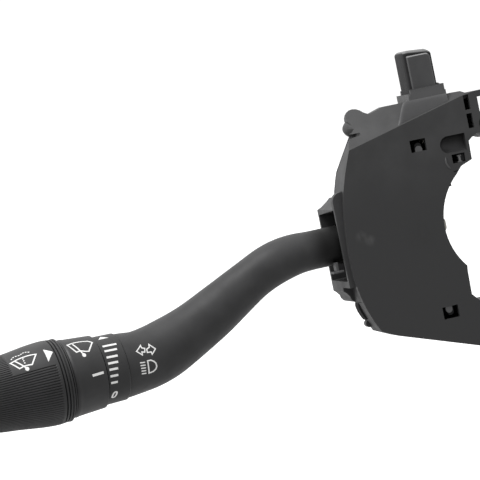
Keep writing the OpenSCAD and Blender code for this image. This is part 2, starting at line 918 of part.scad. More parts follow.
// Point of the lever's skin at a distance from the column and an angle round the lever
function lever_point(x, a) =
    let (
        along = unit(lever_axis(x + 0.01) - lever_axis(x - 0.01)),
        across = unit(cross(along, [0, 0, 1])),
        above = cross(across, along)
    )
    lever_axis(x) + lever_radius(x) * (cos(a) * above + sin(a) * across);

module lever_skin() {
    sides = 36;
    rings = 40;
    points = [
        for (i = [0:rings], s = [0:sides - 1])
            lever_point(root_x + (lever_end_x - root_x) * i / rings, -360 * s / sides)
    ];
    skin = [
        for (i = [0:rings - 1], s = [0:sides - 1])
            let (t = (s + 1) % sides)
            [i * sides + s, i * sides + t, (i + 1) * sides + t, (i + 1) * sides + s]
    ];
    start = [for (s = [sides - 1:-1:0]) s];
    finish = [for (s = [0:sides - 1]) rings * sides + s];
    polyhedron(points, concat(skin, [start, finish]));
}

module lever_arm() {
    color("#48494c")
        difference() {
            union() {
                lever_skin();
                translate([-root_x - 1, lever_y - tongue_half_w, lever_z - tongue_bottom])
                    cube([root_x - beam_x + 1, 2 * tongue_half_w, tongue_top + tongue_bottom]);
                translate([-beam_x, lever_y, lever_z - tongue_bottom])
                    cylinder(h = tongue_top + tongue_bottom, r = tongue_half_w + 0.5, $fn = 48);
            }
            translate([-beam_x, lever_y, lever_z - tongue_bottom - 1])
                cylinder(h = tongue_top + tongue_bottom + 2, r = pin_r + pin_gap, $fn = 48);
            translate([-root_x + 0.95, lever_y + tongue_half_w, lever_z - 1.55])
                cube([5.6, 2, 3.1]);
            dial_rod(spindle_start_x, lever_end_x + 1, spindle_r + 0.05);
        }
}

module dial_spindle() {
    color("#d8d6cf")
        difference() {
            dial_rod(spindle_start_x, spindle_end_x, spindle_r);
            dial_rod(lever_end_x + 2, spindle_end_x + 1, spindle_bore_r);
            dial_turned()
                translate([spindle_r - 0.8, hub_end_x + run_gap])
                    square([2, clip_w]);
        }
}

module dial_band() {
    x0 = lever_end_x;
    color("#48494c")
        dial_turned()
            polygon([
                [spindle_r + 0.05, x0], [lever_tip_r, x0], [lever_tip_r + 0.5, x0 + 0.5],
                [lever_tip_r + 0.7, band_end_x], [10.4, band_end_x], [10.4, band_wall_x],
                [spindle_r + 0.05, band_wall_x]
            ]);
}

module wiper_contact_disc() {
    color("#6f5a32")
        dial_turned()
            translate([spindle_r + 0.05, band_wall_x])
                square([10 - spindle_r, 1.4]);
}

module collar_clip() {
    color("#a9abae")
        difference() {
            dial_turned()
                translate([spindle_r - 0.75, hub_end_x + run_gap + 0.05])
                    square([2.3, clip_w - 0.1]);
            dial_frame()
                translate([-hub_end_x - run_gap - clip_w - 1, -1.6, 0])
                    cube([3, 3.2, 12]);
        }
}

module flash_contact() {
    color("#c8a45a")
        translate([-root_x + 1, lever_y + tongue_half_w, lever_z - 1.5])
            cube([5.5, 0.6, 3]);
}

module washer_contact() {
    color("#c8a45a")
        dial_rod(lever_end_x + 2, lever_end_x + 2.8, spindle_bore_r - 0.05);
}

module wiper_collar() {
    x0 = collar_start_x;
    x1 = collar_end_x;
    hub_w = 2;
    color("#4b4c4f")
        dial_turned()
            polygon([
                [spindle_r + pin_gap, x1 - web_t], [collar_bore_r, x1 - web_t],
                [collar_bore_r, x0], [collar_r - 1, x0],
                [collar_r - 0.3, x1 - 2.4], [collar_r, x1 - 1], [collar_r - 0.4, x1],
                [neck_r, x1], [neck_r, neck_end_x], [neck_r - 1.5, neck_end_x],
                [neck_r - 1.5, x1 + 1], [spindle_r + hub_w, x1 + 1],
                [spindle_r + hub_w, hub_end_x], [spindle_r + pin_gap, hub_end_x]
            ]);
}

module wiper_rotor() {
    color("#c8a45a")
        dial_turned()
            translate([spindle_r + 0.3, collar_end_x - web_t - rotor_t])
                square([collar_bore_r - spindle_r - 0.35, rotor_t]);
}

module collar_ring() {
    color("#2c2d2f")
        dial_turned()
            polygon([
                [neck_r + 0.05, collar_end_x + 0.05], [collar_r - 0.9, collar_end_x + 0.05],
                [collar_r - 0.6, collar_end_x + 0.4], [collar_r - 0.9, ring_end_x],
                [neck_r + 0.05, ring_end_x]
            ]);
}

// Outside of the knob as [radius, distance from the column], from its rim to its end
function knob_profile(grow = 0) =
    let (r = knob_r + grow, x0 = knob_start_x, l = knob_len)
    concat(
        [[r - 0.9, x0], [r - 0.3, x0 + 0.2], [r - 0.3, x0 + 0.5], [r - 0.8, x0 + 0.6]],
        [[r - 0.8, x0 + 0.85], [r - 0.1, x0 + 1], [r, x0 + 2.5]],
        [for (t = [0.3, 0.5, 0.7, 0.85]) [r - 2.2 * t * t, x0 + l * t]],
        [for (a = [0:18:90]) [r - 5.4 + 3.5 * cos(a), x0 + l - 3.5 + 3.5 * sin(a)]]
    );

module knob_rib() {
    x1 = knob_start_x + knob_len * 0.85;
    points = concat(
        [[knob_r - 1.2, x1 + 1.4], [knob_r - 1.2, knob_start_x + 1]],
        [for (p = knob_profile(0.4)) if (p[1] > knob_start_x + 0.9 && p[1] <= x1) p]
    );
    linear_extrude(0.9, center = true)
        polygon(points);
}

module washer_knob() {
    smooth_from = 142;
    smooth_to = 196;
    inner_r = neck_r + 0.3;
    color("#4b4c4f")
        difference() {
            union() {
                dial_turned()
                    polygon(concat([[0, knob_start_x]], knob_profile(), [[0, knob_end_x]]));
                dial_frame()
                    rotate([0, -90, 0])
                        for (i = [0:knob_ribs - 1])
                            let (a = i * 360 / knob_ribs)
                            if (a < smooth_from || a > smooth_to)
                                rotate([0, 0, a])
                                    rotate([90, 0, 0])
                                        knob_rib();
            }
            dial_turned()
                polygon([
                    [0, knob_start_x - 1], [inner_r, knob_start_x - 1],
                    [inner_r, neck_end_x + wash_travel + 0.5],
                    [9.4, neck_end_x + wash_travel + 2.5],
                    [9.4, knob_cavity_end_x], [0, knob_cavity_end_x]
                ]);
        }
}

module washer_push_rod() {
    color("#d8d6cf")
        dial_rod(lever_end_x + 2.8 + wash_travel + 0.2, knob_cavity_end_x, rod_r);
}

module washer_spring() {
    x0 = hub_end_x + run_gap + clip_w;
    color("#b4b6ba")
        dial_frame()
            translate([-knob_cavity_end_x, 0, 0])
                rotate([0, 90, 0])
                    coil(6.1, 0.45, knob_cavity_end_x - x0, 5);
}

module hazard_button() {
    r = 1.5;
    w = hazard_w / 2 - r;
    color("#4b4c4f")
        difference() {
            union() {
                hull()
                    for (x = [-w, w], y = [hazard_front_y + r, hazard_front_y + hazard_depth - r]) {
                        translate([-hazard_x + x, y, hazard_low_z])
                            cylinder(h = 1, r = r, $fn = 32);
                        translate([-hazard_x + x, y, hazard_top_z - r])
                            sphere(r = r, $fn = 32);
                    }
                translate([-hazard_x - w + 1, hazard_front_y - pad_t, hazard_low_z])
                    cube([2 * w - 0.4, 2, hazard_top_z - hazard_low_z - 1.9]);
            }
            translate([
                -hazard_x - slider_w / 2 - 0.05, hazard_mid_y - slider_d / 2 - 0.05,
                hazard_low_z - 1
            ])
                cube([slider_w + 0.1, slider_d + 0.1, hazard_top_z - hazard_low_z - 4]);
        }
}

module hazard_slider() {
    top = hazard_top_z - 5;
    color("#d8d6cf")
        difference() {
            translate([-hazard_x - slider_w / 2, hazard_mid_y - slider_d / 2, slider_low_z])
                cube([slider_w, slider_d, top - slider_low_z]);
            translate([-hazard_x - 1.2, hazard_mid_y + slider_d / 2 - 0.8, slider_low_z + 2.8])
                cube([2.4, 2, hazard_travel + 4]);
        }
}

module hazard_contact_bridge() {
    color("#c8a45a")
        translate([-hazard_x + slider_w / 2, hazard_mid_y - 1.5, slider_low_z + 1])
            cube([0.8, 3, 8]);
}

module cancel_pawl() {
    color("#d8d6cf")
        slab(pawl_front_y, pawl_front_y + pawl_t)
            union() {
                translate([pawl_tail_x, pawl_z - pawl_h / 2])
                    square([pawl_tip_x - pawl_tail_x - 1.5, pawl_h]);
                for (side = [-1, 1])
                    translate([pawl_tip_x - 1.5, pawl_z + side])
                        circle(r = 1.5, $fn = 32);
                translate([pawl_tip_x - 1.5, pawl_z - 1])
                    square([1.5, 2]);
            }
}

front_cover();
rear_housing();
lever_guard();
contact_board();
main_connector();
main_terminals();
wiper_connector();
wiper_terminals();
cover_screws();
turn_pivot_pin();
detent_track();
hazard_collar();
hazard_latch_pin();
hazard_fixed_contacts();
hazard_spring();
pawl_spring();
turn_carrier();
beam_pivot_pin();
turn_contact_slider();
detent_spring();
flash_return_spring();
detent_plunger();
lever_arm();
dial_spindle();
dial_band();
wiper_contact_disc();
collar_clip();
flash_contact();
washer_contact();
wiper_collar();
wiper_rotor();
collar_ring();
washer_knob();
washer_push_rod();
washer_spring();
hazard_button();
hazard_slider();
hazard_contact_bridge();
cancel_pawl();
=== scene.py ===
import math

import bmesh
import bpy
from mathutils import Matrix, Vector


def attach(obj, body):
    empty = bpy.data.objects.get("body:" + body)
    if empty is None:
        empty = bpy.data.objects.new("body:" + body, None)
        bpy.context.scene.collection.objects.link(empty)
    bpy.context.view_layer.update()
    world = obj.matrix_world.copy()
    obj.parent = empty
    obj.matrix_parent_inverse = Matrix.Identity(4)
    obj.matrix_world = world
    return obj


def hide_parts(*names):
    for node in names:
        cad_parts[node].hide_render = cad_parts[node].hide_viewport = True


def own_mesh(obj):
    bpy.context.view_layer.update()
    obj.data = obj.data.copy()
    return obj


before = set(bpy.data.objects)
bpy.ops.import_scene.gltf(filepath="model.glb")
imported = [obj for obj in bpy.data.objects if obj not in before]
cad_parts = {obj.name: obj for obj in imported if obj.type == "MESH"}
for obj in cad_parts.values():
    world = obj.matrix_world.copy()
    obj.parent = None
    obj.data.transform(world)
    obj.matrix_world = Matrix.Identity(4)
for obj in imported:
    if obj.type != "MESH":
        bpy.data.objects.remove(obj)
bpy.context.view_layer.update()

# Lengths are in millimetres, and go to Blender times MM; only the stage's are in metres
MM = 0.001
WELD = 0.002

# Camera: where the photograph was taken from, as angles round the object, and its roll
VIEW_AZIMUTH = math.radians(-12.0)
VIEW_ELEVATION = math.radians(3.0)
VIEW_ROLL = math.radians(11.6)
VIEW_PLACE = Vector((-284.58, -896.89, 58.21)) * MM
IMAGE_PX = 480
SENSOR_MM = 36.0
FOCAL_PX = 2547.0

# Lever: the CAD source's sizes along the distance from the column, and a sag and two swells
# of its skin that only the scene has
LEVER_Z = 1.5
LEVER_Y = -8.0
LEVER_DROP = 25.1
BEND_FROM = 74.0
BEND_LEN = 70.0
BEND_SAG = 0.7
SAG_AT = 107
SAG_REACH = 22
ROOT_X = 60.5
LEVER_END = 148.3
ROOT_R = 7.0
TIP_R = 11.5
LIP = 0.6
LIP_LEN = 8
FLARE_FROM = 76
FLARE_LEN = 66
SWELLS = ((83, 13, 0.6), (120, 12, -0.3))  # middle, reach, height
DIAL_YAW = math.radians(8.0)
DIAL_OUT = Vector((-math.cos(DIAL_YAW), -math.sin(DIAL_YAW), 0))
BEAM_X = 55.0
PIN_BORE_R = 2.04
EYE_R = 3.5
EYE_BELOW = 6.7
EYE_ABOVE = 3.1
NECK_WIDTH = 6
SPINDLE_BORE_R = 5.05
SPINDLE_FROM = 133.3

# Dial stack: distances from the column along the dial's axis, and radii
BAND_END = 156.7
COLLAR_FROM = 157.0
COLLAR_END = 169.0
COLLAR_R = 14.0
NECK_R = 11.1
KNOB_FROM = 170.95
KNOB_LEN = 30.0
KNOB_R = 15.0
KNOB_TAPER = 2.2
KNOB_WAIST = 0.75
NECK_END = KNOB_FROM + 6
WASH_TRAVEL = 1.0
KNOB_BORE_R = NECK_R + 0.3
KNOB_CAVITY_R = 9.4
KNOB_CAVITY_END = KNOB_FROM + KNOB_LEN - 3.5
SKIRT = 1.0
SKIRT_BORE_R = COLLAR_R + 0.25
GROOVES = 100
GROOVE_DEPTH = 0.32

# Skins of band and collar, as (distance from the column, radius)
BAND_SKIN = [(LEVER_END, TIP_R), (LEVER_END + 0.5, TIP_R + 0.5), (BAND_END, TIP_R + 0.7)]
COLLAR_SKIN = [
    (COLLAR_FROM, COLLAR_R - 1.0), (COLLAR_END - 2.4, COLLAR_R - 0.3), (COLLAR_END - 1, COLLAR_R),
]
# Three thin rings at the knob's rim, as (distance from its start, depth below its radius)
KNOB_RIM = [
    (-SKIRT, 0.45), (-0.85, 0.2), (-0.35, 0.2), (-0.2, 0.6), (0.05, 0.6),
    (0.2, 0.25), (0.7, 0.25), (0.85, 1.0), (1.1, 1.0), (1.25, 0.2),
    (1.85, 0.15), (2.0, 0.9), (2.25, 0.9), (2.4, 0.05), (3.2, 0.0),
]
RIM_END = KNOB_RIM[-1][0]


def ease(t):
    """A smooth step from 0 to 1 as t goes from 0 to 1."""
    u = min(1.0, max(0.0, t))
    return u * u * (3 - 2 * u)


def swell(x, middle, reach):
    """A smooth swell from 0 to 1 and back round a distance from the column."""
    return max(0.0, 1 - ((x - middle) / reach) ** 2) ** 2


def lever_axis(x):
    """Centre of the lever at a distance from the column, straight beyond its end."""
    inner = min(x, LEVER_END)
    side = math.tan(DIAL_YAW) * max(0.0, inner - BEND_FROM) ** 2 / (LEVER_END - BEND_FROM) / 2
    sag = BEND_SAG * swell(inner, SAG_AT, SAG_REACH)
    drop = LEVER_DROP * ease((inner - BEND_FROM) / BEND_LEN) + sag
    place = Vector((-inner, LEVER_Y - side, LEVER_Z - drop))
    return place + DIAL_OUT * max(0.0, x - LEVER_END)


def lever_radius(x):
    flare = (TIP_R - LIP - ROOT_R) * ease((x - FLARE_FROM) / FLARE_LEN)
    lip = LIP * ease((x - LEVER_END + LIP_LEN) / LIP_LEN)
    return ROOT_R + flare + lip + sum(high * swell(x, at, reach) for at, reach, high in SWELLS)


def steps(table, x):
    """The value at x on straight lines through a table of (x, value)."""
    if x <= table[0][0]:
        return table[0][1]
    for (xa, va), (xb, vb) in zip(table, table[1:]):
        if x <= xb:
            return va + (vb - va) * (x - xa) / (xb - xa)
    return table[-1][1]


def knob_radius(x):
    t = (x - KNOB_FROM) / KNOB_LEN
    rim = steps(KNOB_RIM, x - KNOB_FROM)
    return KNOB_R - rim - KNOB_TAPER * t * t - KNOB_WAIST * ease((t - 0.15) / 0.5)


def skin_point(x, angle, radius, lift=0.0):
    """Point round the lever or dial: angle in degrees, 0 faces the driver and 90 is up."""
    along = (lever_axis(x + 0.01) - lever_axis(x - 0.01)).normalized()
    across = along.cross(Vector((0, 0, 1))).normalized()
    above = across.cross(along)
    a = math.radians(angle)
    return lever_axis(x) + (radius + lift) * (math.sin(a) * above - math.cos(a) * across)


# Materials

def new_material(name):
    """A node material, its tree and shader, and the place on the piece in metres."""
    material = bpy.data.materials.new(name)
    material.use_nodes = True
    tree = material.node_tree
    shader = tree.nodes["Principled BSDF"]
    place = tree.nodes.new("ShaderNodeTexCoord").outputs["Object"]
    return material, tree, shader, place


def noise(tree, place, size_mm, detail=4.0, stretch=None):
    node = tree.nodes.new("ShaderNodeTexNoise")
    node.inputs["Scale"].default_value = 1.0 / (size_mm * MM)
    node.inputs["Detail"].default_value = detail
    if stretch:
        mapping = tree.nodes.new("ShaderNodeMapping")
        mapping.inputs["Scale"].default_value = stretch
        tree.links.new(place, mapping.inputs["Vector"])
        place = mapping.outputs["Vector"]
    tree.links.new(place, node.inputs["Vector"])
    return node.outputs["Fac"]


def ramp(tree, value, stops):
    """Colours at two or more places between 0 and 1, blended by a value."""
    node = tree.nodes.new("ShaderNodeValToRGB")
    while len(node.color_ramp.elements) < len(stops):
        node.color_ramp.elements.new(0.5)
    for element, (at, colour) in zip(node.color_ramp.elements, stops):
        element.position = at
        element.color = (*colour, 1)
    tree.links.new(value, node.inputs["Fac"])
    return node.outputs["Color"]


def spread(tree, value, low, high):
    """Stretches a noise's middle range to lie between two values."""
    node = tree.nodes.new("ShaderNodeMapRange")
    node.inputs["From Min"].default_value = 0.3
    node.inputs["From Max"].default_value = 0.7
    node.inputs["To Min"].default_value = low
    node.inputs["To Max"].default_value = high
    tree.links.new(value, node.inputs["Value"])
    return node.outputs["Result"]


def bump(tree, shader, value, depth_mm, strength, under=None):
    """Adds fine relief, on top of another bump where one is given."""
    node = tree.nodes.new("ShaderNodeBump")
    node.inputs["Strength"].default_value = strength
    node.inputs["Distance"].default_value = depth_mm * MM
    tree.links.new(value, node.inputs["Height"])
    if under:
        tree.links.new(under, node.inputs["Normal"])
    tree.links.new(node.outputs["Normal"], shader.inputs["Normal"])
    return node.outputs["Normal"]


# Sizes of the noises on moulded plastic: its shade, its gloss and the unevenness of its skin
SHADE_MM, GLOSS_MM, WAVY_MM = 9, 4, 22


def moulded(name, colour, vary=0.12, rough=0.5, grain=0.35, depth=0.03, strength=0.4, spec=0.5,
             painted_shade_along=None, scuffs=(), painted_light_by_facing=()):
    """Moulded plastic: fine grain, slow shade changes and small gloss changes, with scuffs,
    painted shade along an axis and painted light and shade by the way a face turns, where they
    are given.
    """
    material, tree, shader, place = new_material(name)
    dark = [c * (1 - vary) for c in colour]
    light = [c * (1 + vary) for c in colour]
    shade = ramp(tree, noise(tree, place, SHADE_MM, 6), [(0.35, dark), (0.65, light)])
    # Painted shade: a darker colour along an axis, where one is given
    if painted_shade_along:
        shade = paint_shade_along(tree, place, shade, *painted_shade_along)
    for spot in scuffs:
        shade = scuffed(tree, place, shade, *spot)
    # Painted light and shade: a lighter or darker colour on faces that turn a given way
    for painted_facing in painted_light_by_facing:
        shade = paint_light_by_facing(tree, shade, *painted_facing)
    tree.links.new(shade, shader.inputs["Base Color"])
    gloss = spread(tree, noise(tree, place, GLOSS_MM), rough - 0.05, rough + 0.07)
    tree.links.new(gloss, shader.inputs["Roughness"])
    shader.inputs["Specular IOR Level"].default_value = spec
    under = bump(tree, shader, noise(tree, place, grain, 3), depth, strength)
    bump(tree, shader, noise(tree, place, WAVY_MM, 2), 0.25, 0.25, under)
    return material


def paint_shade_along(tree, place, shade, axis, full_mm, gone_mm, colour):
    """Painted shade: a darker colour that takes over between two places along an axis."""
    split = tree.nodes.new("ShaderNodeSeparateXYZ")
    share = tree.nodes.new("ShaderNodeMapRange")
    share.interpolation_type = "SMOOTHSTEP"
    share.inputs["From Min"].default_value = full_mm * MM
    share.inputs["From Max"].default_value = gone_mm * MM
    tree.links.new(place, split.inputs["Vector"])
    tree.links.new(split.outputs[axis], share.inputs["Value"])
    return blended(tree, share.outputs["Result"], shade, colour)


def blended(tree, share, shade, colour):
    """A shade with a share of one colour in it."""
    mix = tree.nodes.new("ShaderNodeMix")
    mix.data_type = "RGBA"
    mix.inputs[7].default_value = (*colour, 1)
    tree.links.new(share, mix.inputs[0])
    tree.links.new(shade, mix.inputs[6])
    return mix.outputs[2]


def scuffed(tree, place, shade, centre_mm, reach_mm, strength, colour):
    """A rubbed patch: scratches that die out away from its middle."""
    away = tree.nodes.new("ShaderNodeVectorMath")
    away.operation = "DISTANCE"
    away.inputs[1].default_value = Vector(centre_mm) * MM
    near = tree.nodes.new("ShaderNodeMapRange")
    near.inputs["From Min"].default_value = reach_mm * MM
    near.inputs["From Max"].default_value = 0.3 * reach_mm * MM
    near.inputs["To Max"].default_value = strength
    share = tree.nodes.new("ShaderNodeMath")
    share.operation = "MULTIPLY"
    tree.links.new(place, away.inputs[0])
    tree.links.new(away.outputs["Value"], near.inputs["Value"])
    tree.links.new(near.outputs["Result"], share.inputs[0])
    scratches = noise(tree, place, 1.6, 3, (1.0, 1.0, 0.5))
    tree.links.new(spread(tree, scratches, 0.0, 1.0), share.inputs[1])
    return blended(tree, share.outputs["Value"], shade, colour)


def paint_light_by_facing(tree, shade, facing, colour, low, high):
    """Painted light and shade: another colour mixed in where the surface faces a certain way."""
    towards = tree.nodes.new("ShaderNodeVectorMath")
    towards.operation = "DOT_PRODUCT"
    towards.inputs[1].default_value = Vector(facing).normalized()
    share = tree.nodes.new("ShaderNodeMapRange")
    share.interpolation_type = "SMOOTHSTEP"
    share.inputs["From Min"].default_value = low
    share.inputs["From Max"].default_value = high
    tree.links.new(tree.nodes.new("ShaderNodeNewGeometry").outputs["Normal"], towards.inputs[0])
    tree.links.new(towards.outputs["Value"], share.inputs["Value"])
    return blended(tree, share.outputs["Result"], shade, colour)


def metal(name, colour, rough, brushed=(1, 1, 12)):
    """Metal with soft stains and fine scratches along one axis."""
    material, tree, shader, place = new_material(name)
    dark = [c * 0.82 for c in colour]
    tree.links.new(ramp(tree, noise(tree, place, 3, 5), [(0.3, dark), (0.7, colour)]),
                   shader.inputs["Base Color"])
    shader.inputs["Metallic"].default_value = 1.0
    scratch = noise(tree, place, 0.5, 3, brushed)
    tree.links.new(spread(tree, scratch, rough - 0.08, rough + 0.12), shader.inputs["Roughness"])
    bump(tree, shader, scratch, 0.01, 0.25)
    return material


def laminate(name):
    """Brown circuit board with a faint weave."""
    material, tree, shader, place = new_material(name)
    wave = tree.nodes.new("ShaderNodeTexWave")
    wave.inputs["Scale"].default_value = 1 / (0.5 * MM) / 20
    wave.inputs["Distortion"].default_value = 0.6
    tree.links.new(place, wave.inputs["Vector"])
    browns = [(0.3, (0.13, 0.075, 0.03)), (0.7, (0.2, 0.12, 0.05))]
    tree.links.new(ramp(tree, noise(tree, place, 2.5, 6), browns), shader.inputs["Base Color"])
    tree.links.new(spread(tree, noise(tree, place, 1.2), 0.35, 0.5), shader.inputs["Roughness"])
    bump(tree, shader, wave.outputs["Fac"], 0.02, 0.3)
    return material


def paint(name):
    """White printed ink, a little uneven, with a faint glow."""
    material, tree, shader, place = new_material(name)
    whites = [(0.3, (0.78, 0.78, 0.77)), (0.7, (0.9, 0.9, 0.89))]
    tree.links.new(ramp(tree, noise(tree, place, 1.2, 5), whites), shader.inputs["Base Color"])
    tree.links.new(spread(tree, noise(tree, place, 0.8), 0.5, 0.65), shader.inputs["Roughness"])
    bump(tree, shader, noise(tree, place, 0.3), 0.01, 0.2)
    shader.inputs["Emission Color"].default_value = (1, 1, 0.98, 1)
    shader.inputs["Emission Strength"].default_value = 0.15
    return material


RUBBED = (0.085, 0.085, 0.085)
MATERIALS = {
    # Housing: real scuffs; painted shade that darkens it towards the bottom and on faces turned
    # left, forward and down
    "housing": moulded(
        "housing", (0.052, 0.052, 0.053), rough=0.55, painted_shade_along=("Z", 34, 6, (0.040, 0.040, 0.041)),
        scuffs=[((-54.6, -20, 3.0), 2.6, 0.7, RUBBED), ((-51.8, -20, 1.2), 2.4, 0.8, RUBBED),
                ((-33, -20, -0.6), 7.0, 0.35, (0.030, 0.030, 0.030))],
        painted_light_by_facing=[((-0.6, -0.6, -0.5), (0.012, 0.012, 0.012), 0.75, 0.95)]),
    # Channel floor: painted shade, darker than the housing and darker still on faces turned down
    "channel": moulded(
        "channel", (0.038, 0.038, 0.039), rough=0.55,
        painted_light_by_facing=[((0, 0, -1), (0.004, 0.004, 0.004), -0.3, 0.45)]),
    "fitting": moulded("fitting", (0.100, 0.100, 0.102), rough=0.55),
    "rear": moulded("rear", (0.022, 0.022, 0.023), rough=0.7, spec=0.1),
    "guard": moulded("guard", (0.045, 0.045, 0.046), rough=0.55),
    # Lever: painted shadow that darkens it towards its root, where it goes into the guard
    "lever": moulded(
        "lever", (0.050, 0.050, 0.051), rough=0.5, grain=0.3, depth=0.02, spec=0.32,
        painted_shade_along=("X", -74.5, -66.5, (0.004, 0.004, 0.004))),
    "knob": moulded("knob", (0.040, 0.040, 0.041), rough=0.5, grain=0.25, depth=0.02),
    # Button: painted light, much lighter on faces turned up and a little lighter on faces turned
    # left
    "button": moulded(
        "button", (0.025, 0.025, 0.026), rough=0.7, grain=0.3, depth=0.02, spec=0.1,
        painted_light_by_facing=[((0, 0, 1), (0.26, 0.26, 0.26), 0.25, 0.6),
               ((-1, 0, 0), (0.045, 0.045, 0.046), 0.6, 0.9)]),
    # Button's plate: painted highlight, lighter on faces turned up
    "panel": moulded(
        "panel", (0.078, 0.078, 0.080), rough=0.5, grain=0.3, depth=0.02,
        painted_light_by_facing=[((-0.35, -0.2, 1), (0.30, 0.30, 0.30), 0.35, 0.6)]),
    # Pale: painted light, used for the plate in the second window
    "pale": moulded("pale", (0.17, 0.17, 0.17), rough=0.5, grain=0.3, depth=0.02),
    "rubber": moulded("rubber", (0.026, 0.026, 0.027), rough=0.6, grain=0.2),
    "acetal": moulded(
        "acetal", (0.62, 0.60, 0.54), vary=0.04, rough=0.38, grain=0.6, depth=0.01),
    "socket": moulded("socket", (0.022, 0.022, 0.024), rough=0.5),
    "board": laminate("board"),
    "spring": metal("spring", (0.55, 0.56, 0.58), 0.28),
    "steel": metal("steel", (0.62, 0.63, 0.65), 0.32),
    "brass": metal("brass", (0.72, 0.52, 0.26), 0.35),
    "ink": paint("ink"),
}
# Which CAD nodes each material is for
NODE_LOOKS = {
    "housing": "front_cover",
    "fitting": "hazard_collar",
    "rear": "rear_housing",
    "guard": "lever_guard",
    "lever": "lever_arm dial_band",
    "knob": "wiper_collar washer_knob",
    "button": "hazard_button",
    "rubber": "collar_ring",
    "acetal": "detent_track turn_carrier detent_plunger dial_spindle washer_push_rod "
              "hazard_slider cancel_pawl",
    "socket": "main_connector wiper_connector",
    "board": "contact_board wiper_contact_disc",
    "spring": "hazard_spring pawl_spring detent_spring flash_return_spring washer_spring",
    "steel": "cover_screws turn_pivot_pin hazard_latch_pin beam_pivot_pin collar_clip",
    "brass": "main_terminals wiper_terminals hazard_fixed_contacts turn_contact_slider "
             "flash_contact washer_contact wiper_rotor hazard_contact_bridge",
}
# How wide the bevel on a node's edges is
SOFT_EDGE_MM = {
    "front_cover": 0.3, "rear_housing": 0.25, "lever_guard": 0.3, "hazard_collar": 0.3,
    "dial_band": 0.2, "wiper_collar": 0.25, "collar_ring": 0.15, "main_connector": 0.25,
    "wiper_connector": 0.25, "contact_board": 0.1, "cover_screws": 0.12, "turn_carrier": 0.25,
    "detent_track": 0.15, "hazard_slider": 0.2, "cancel_pawl": 0.2, "main_terminals": 0.1,
    "wiper_terminals": 0.1, "dial_spindle": 0.15,
}


def dress_cad():
    """Gives every CAD node its material and takes the sharpness off its edges."""
    for look, names in NODE_LOOKS.items():
        for name in names.split():
            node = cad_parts[name]
            node.data.materials.clear()
            node.data.materials.append(MATERIALS[look])
            if name in SOFT_EDGE_MM:
                soften(node, SOFT_EDGE_MM[name])


def soften(node, width_mm):
    """Joins a CAD mesh's flat facets and bevels its edges."""
    weld = node.modifiers.new("weld", "WELD")
    weld.merge_threshold = WELD * MM
    flat = node.modifiers.new("flat", "DECIMATE")
    flat.decimate_type = "DISSOLVE"
    flat.angle_limit = math.radians(0.6)
    bevel = node.modifiers.new("bevel", "BEVEL")
    bevel.width = width_mm * MM
    bevel.segments = 2
    bevel.limit_method = "ANGLE"
    bevel.angle_limit = math.radians(32)
    bevel.harden_normals = False
    normals = node.modifiers.new("normals", "WEIGHTED_NORMAL")
    normals.keep_sharp = False
    node.data.shade_smooth()


# Mesh pieces

def make_piece(name, points, faces, body, look, smooth=True, replaces=()):
    """A new piece from points in millimetres that rides on a CAD body."""
    mesh = bpy.data.meshes.new(name)
    mesh.from_pydata([Vector(p) * MM for p in points], [], faces)
    mesh.validate()
    shape = bmesh.new()
    shape.from_mesh(mesh)
    bmesh.ops.recalc_face_normals(shape, faces=shape.faces)
    shape.to_mesh(mesh)
    shape.free()
    if smooth:
        mesh.shade_smooth()
        mesh.set_sharp_from_angle(angle=math.radians(38))
    mesh.materials.append(MATERIALS[look])
    piece = bpy.data.objects.new(name, mesh)
    bpy.context.scene.collection.objects.link(piece)
    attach(piece, body)
    if replaces:
        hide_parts(*replaces)
    return piece


def loft(rings, loop_ends=False):
    """Points and faces of a skin through rings of equal length, closed by caps or as a loop."""
    n = len(rings[0])
    points = [p for ring in rings for p in ring]
    faces = []
    count = len(rings) if loop_ends else len(rings) - 1
    for i in range(count):
        j = (i + 1) % len(rings)
        for s in range(n):
            t = (s + 1) % n
            faces.append((i * n + s, i * n + t, j * n + t, j * n + s))
    if not loop_ends:
        faces.append(tuple(range(n)))
        faces.append(tuple((len(rings) - 1) * n + s for s in range(n)))
    return points, faces


def join_parts(parts):
    """Several (points, faces) as one."""
    points, faces = [], []
    for more_points, more_faces in parts:
        base = len(points)
        points += more_points
        faces += [tuple(base + i for i in face) for face in more_faces]
    return points, faces


def turned(profile, sides=120):
    """A closed profile of (radius, distance) turned round the dial's axis."""
    rings = []
    for radius, x in profile:
        rings.append([skin_point(x, 360 * s / sides, max(radius, 0.02)) for s in range(sides)])
    return loft(rings, loop_ends=True)


# Lever and knob

def make_lever():
    """The lever's skin with the spindle's bore, its flat neck and the eye of its hinge."""
    sides, rings = 96, 150
    outer = []
    for i in range(rings + 1):
        x = ROOT_X + (LEVER_END - ROOT_X) * i / rings
        outer.append([skin_point(x, 360 * s / sides, lever_radius(x)) for s in range(sides)])
    across = Vector((math.sin(DIAL_YAW), -math.cos(DIAL_YAW), 0))
    bore = []
    for x in (LEVER_END, SPINDLE_FROM):
        centre = lever_axis(LEVER_END) - DIAL_OUT * (LEVER_END - x)
        ring = []
        for s in range(sides):
            a = math.radians(360 * s / sides)
            ring.append(centre + SPINDLE_BORE_R * (
                math.cos(a) * across + math.sin(a) * Vector((0, 0, 1))))
        bore.append(ring)
    eye_z = LEVER_Z + (EYE_ABOVE - EYE_BELOW) / 2
    neck = rounded_block(
        (-ROOT_X - 1, LEVER_Y, eye_z), (ROOT_X - BEAM_X + 1, NECK_WIDTH, EYE_BELOW + EYE_ABOVE))
    points, faces = join_parts([loft(outer + bore), neck, hinge_eye()])
    make_piece("lever_skin", points, faces, "lever", "lever",
               replaces=("lever_arm",))


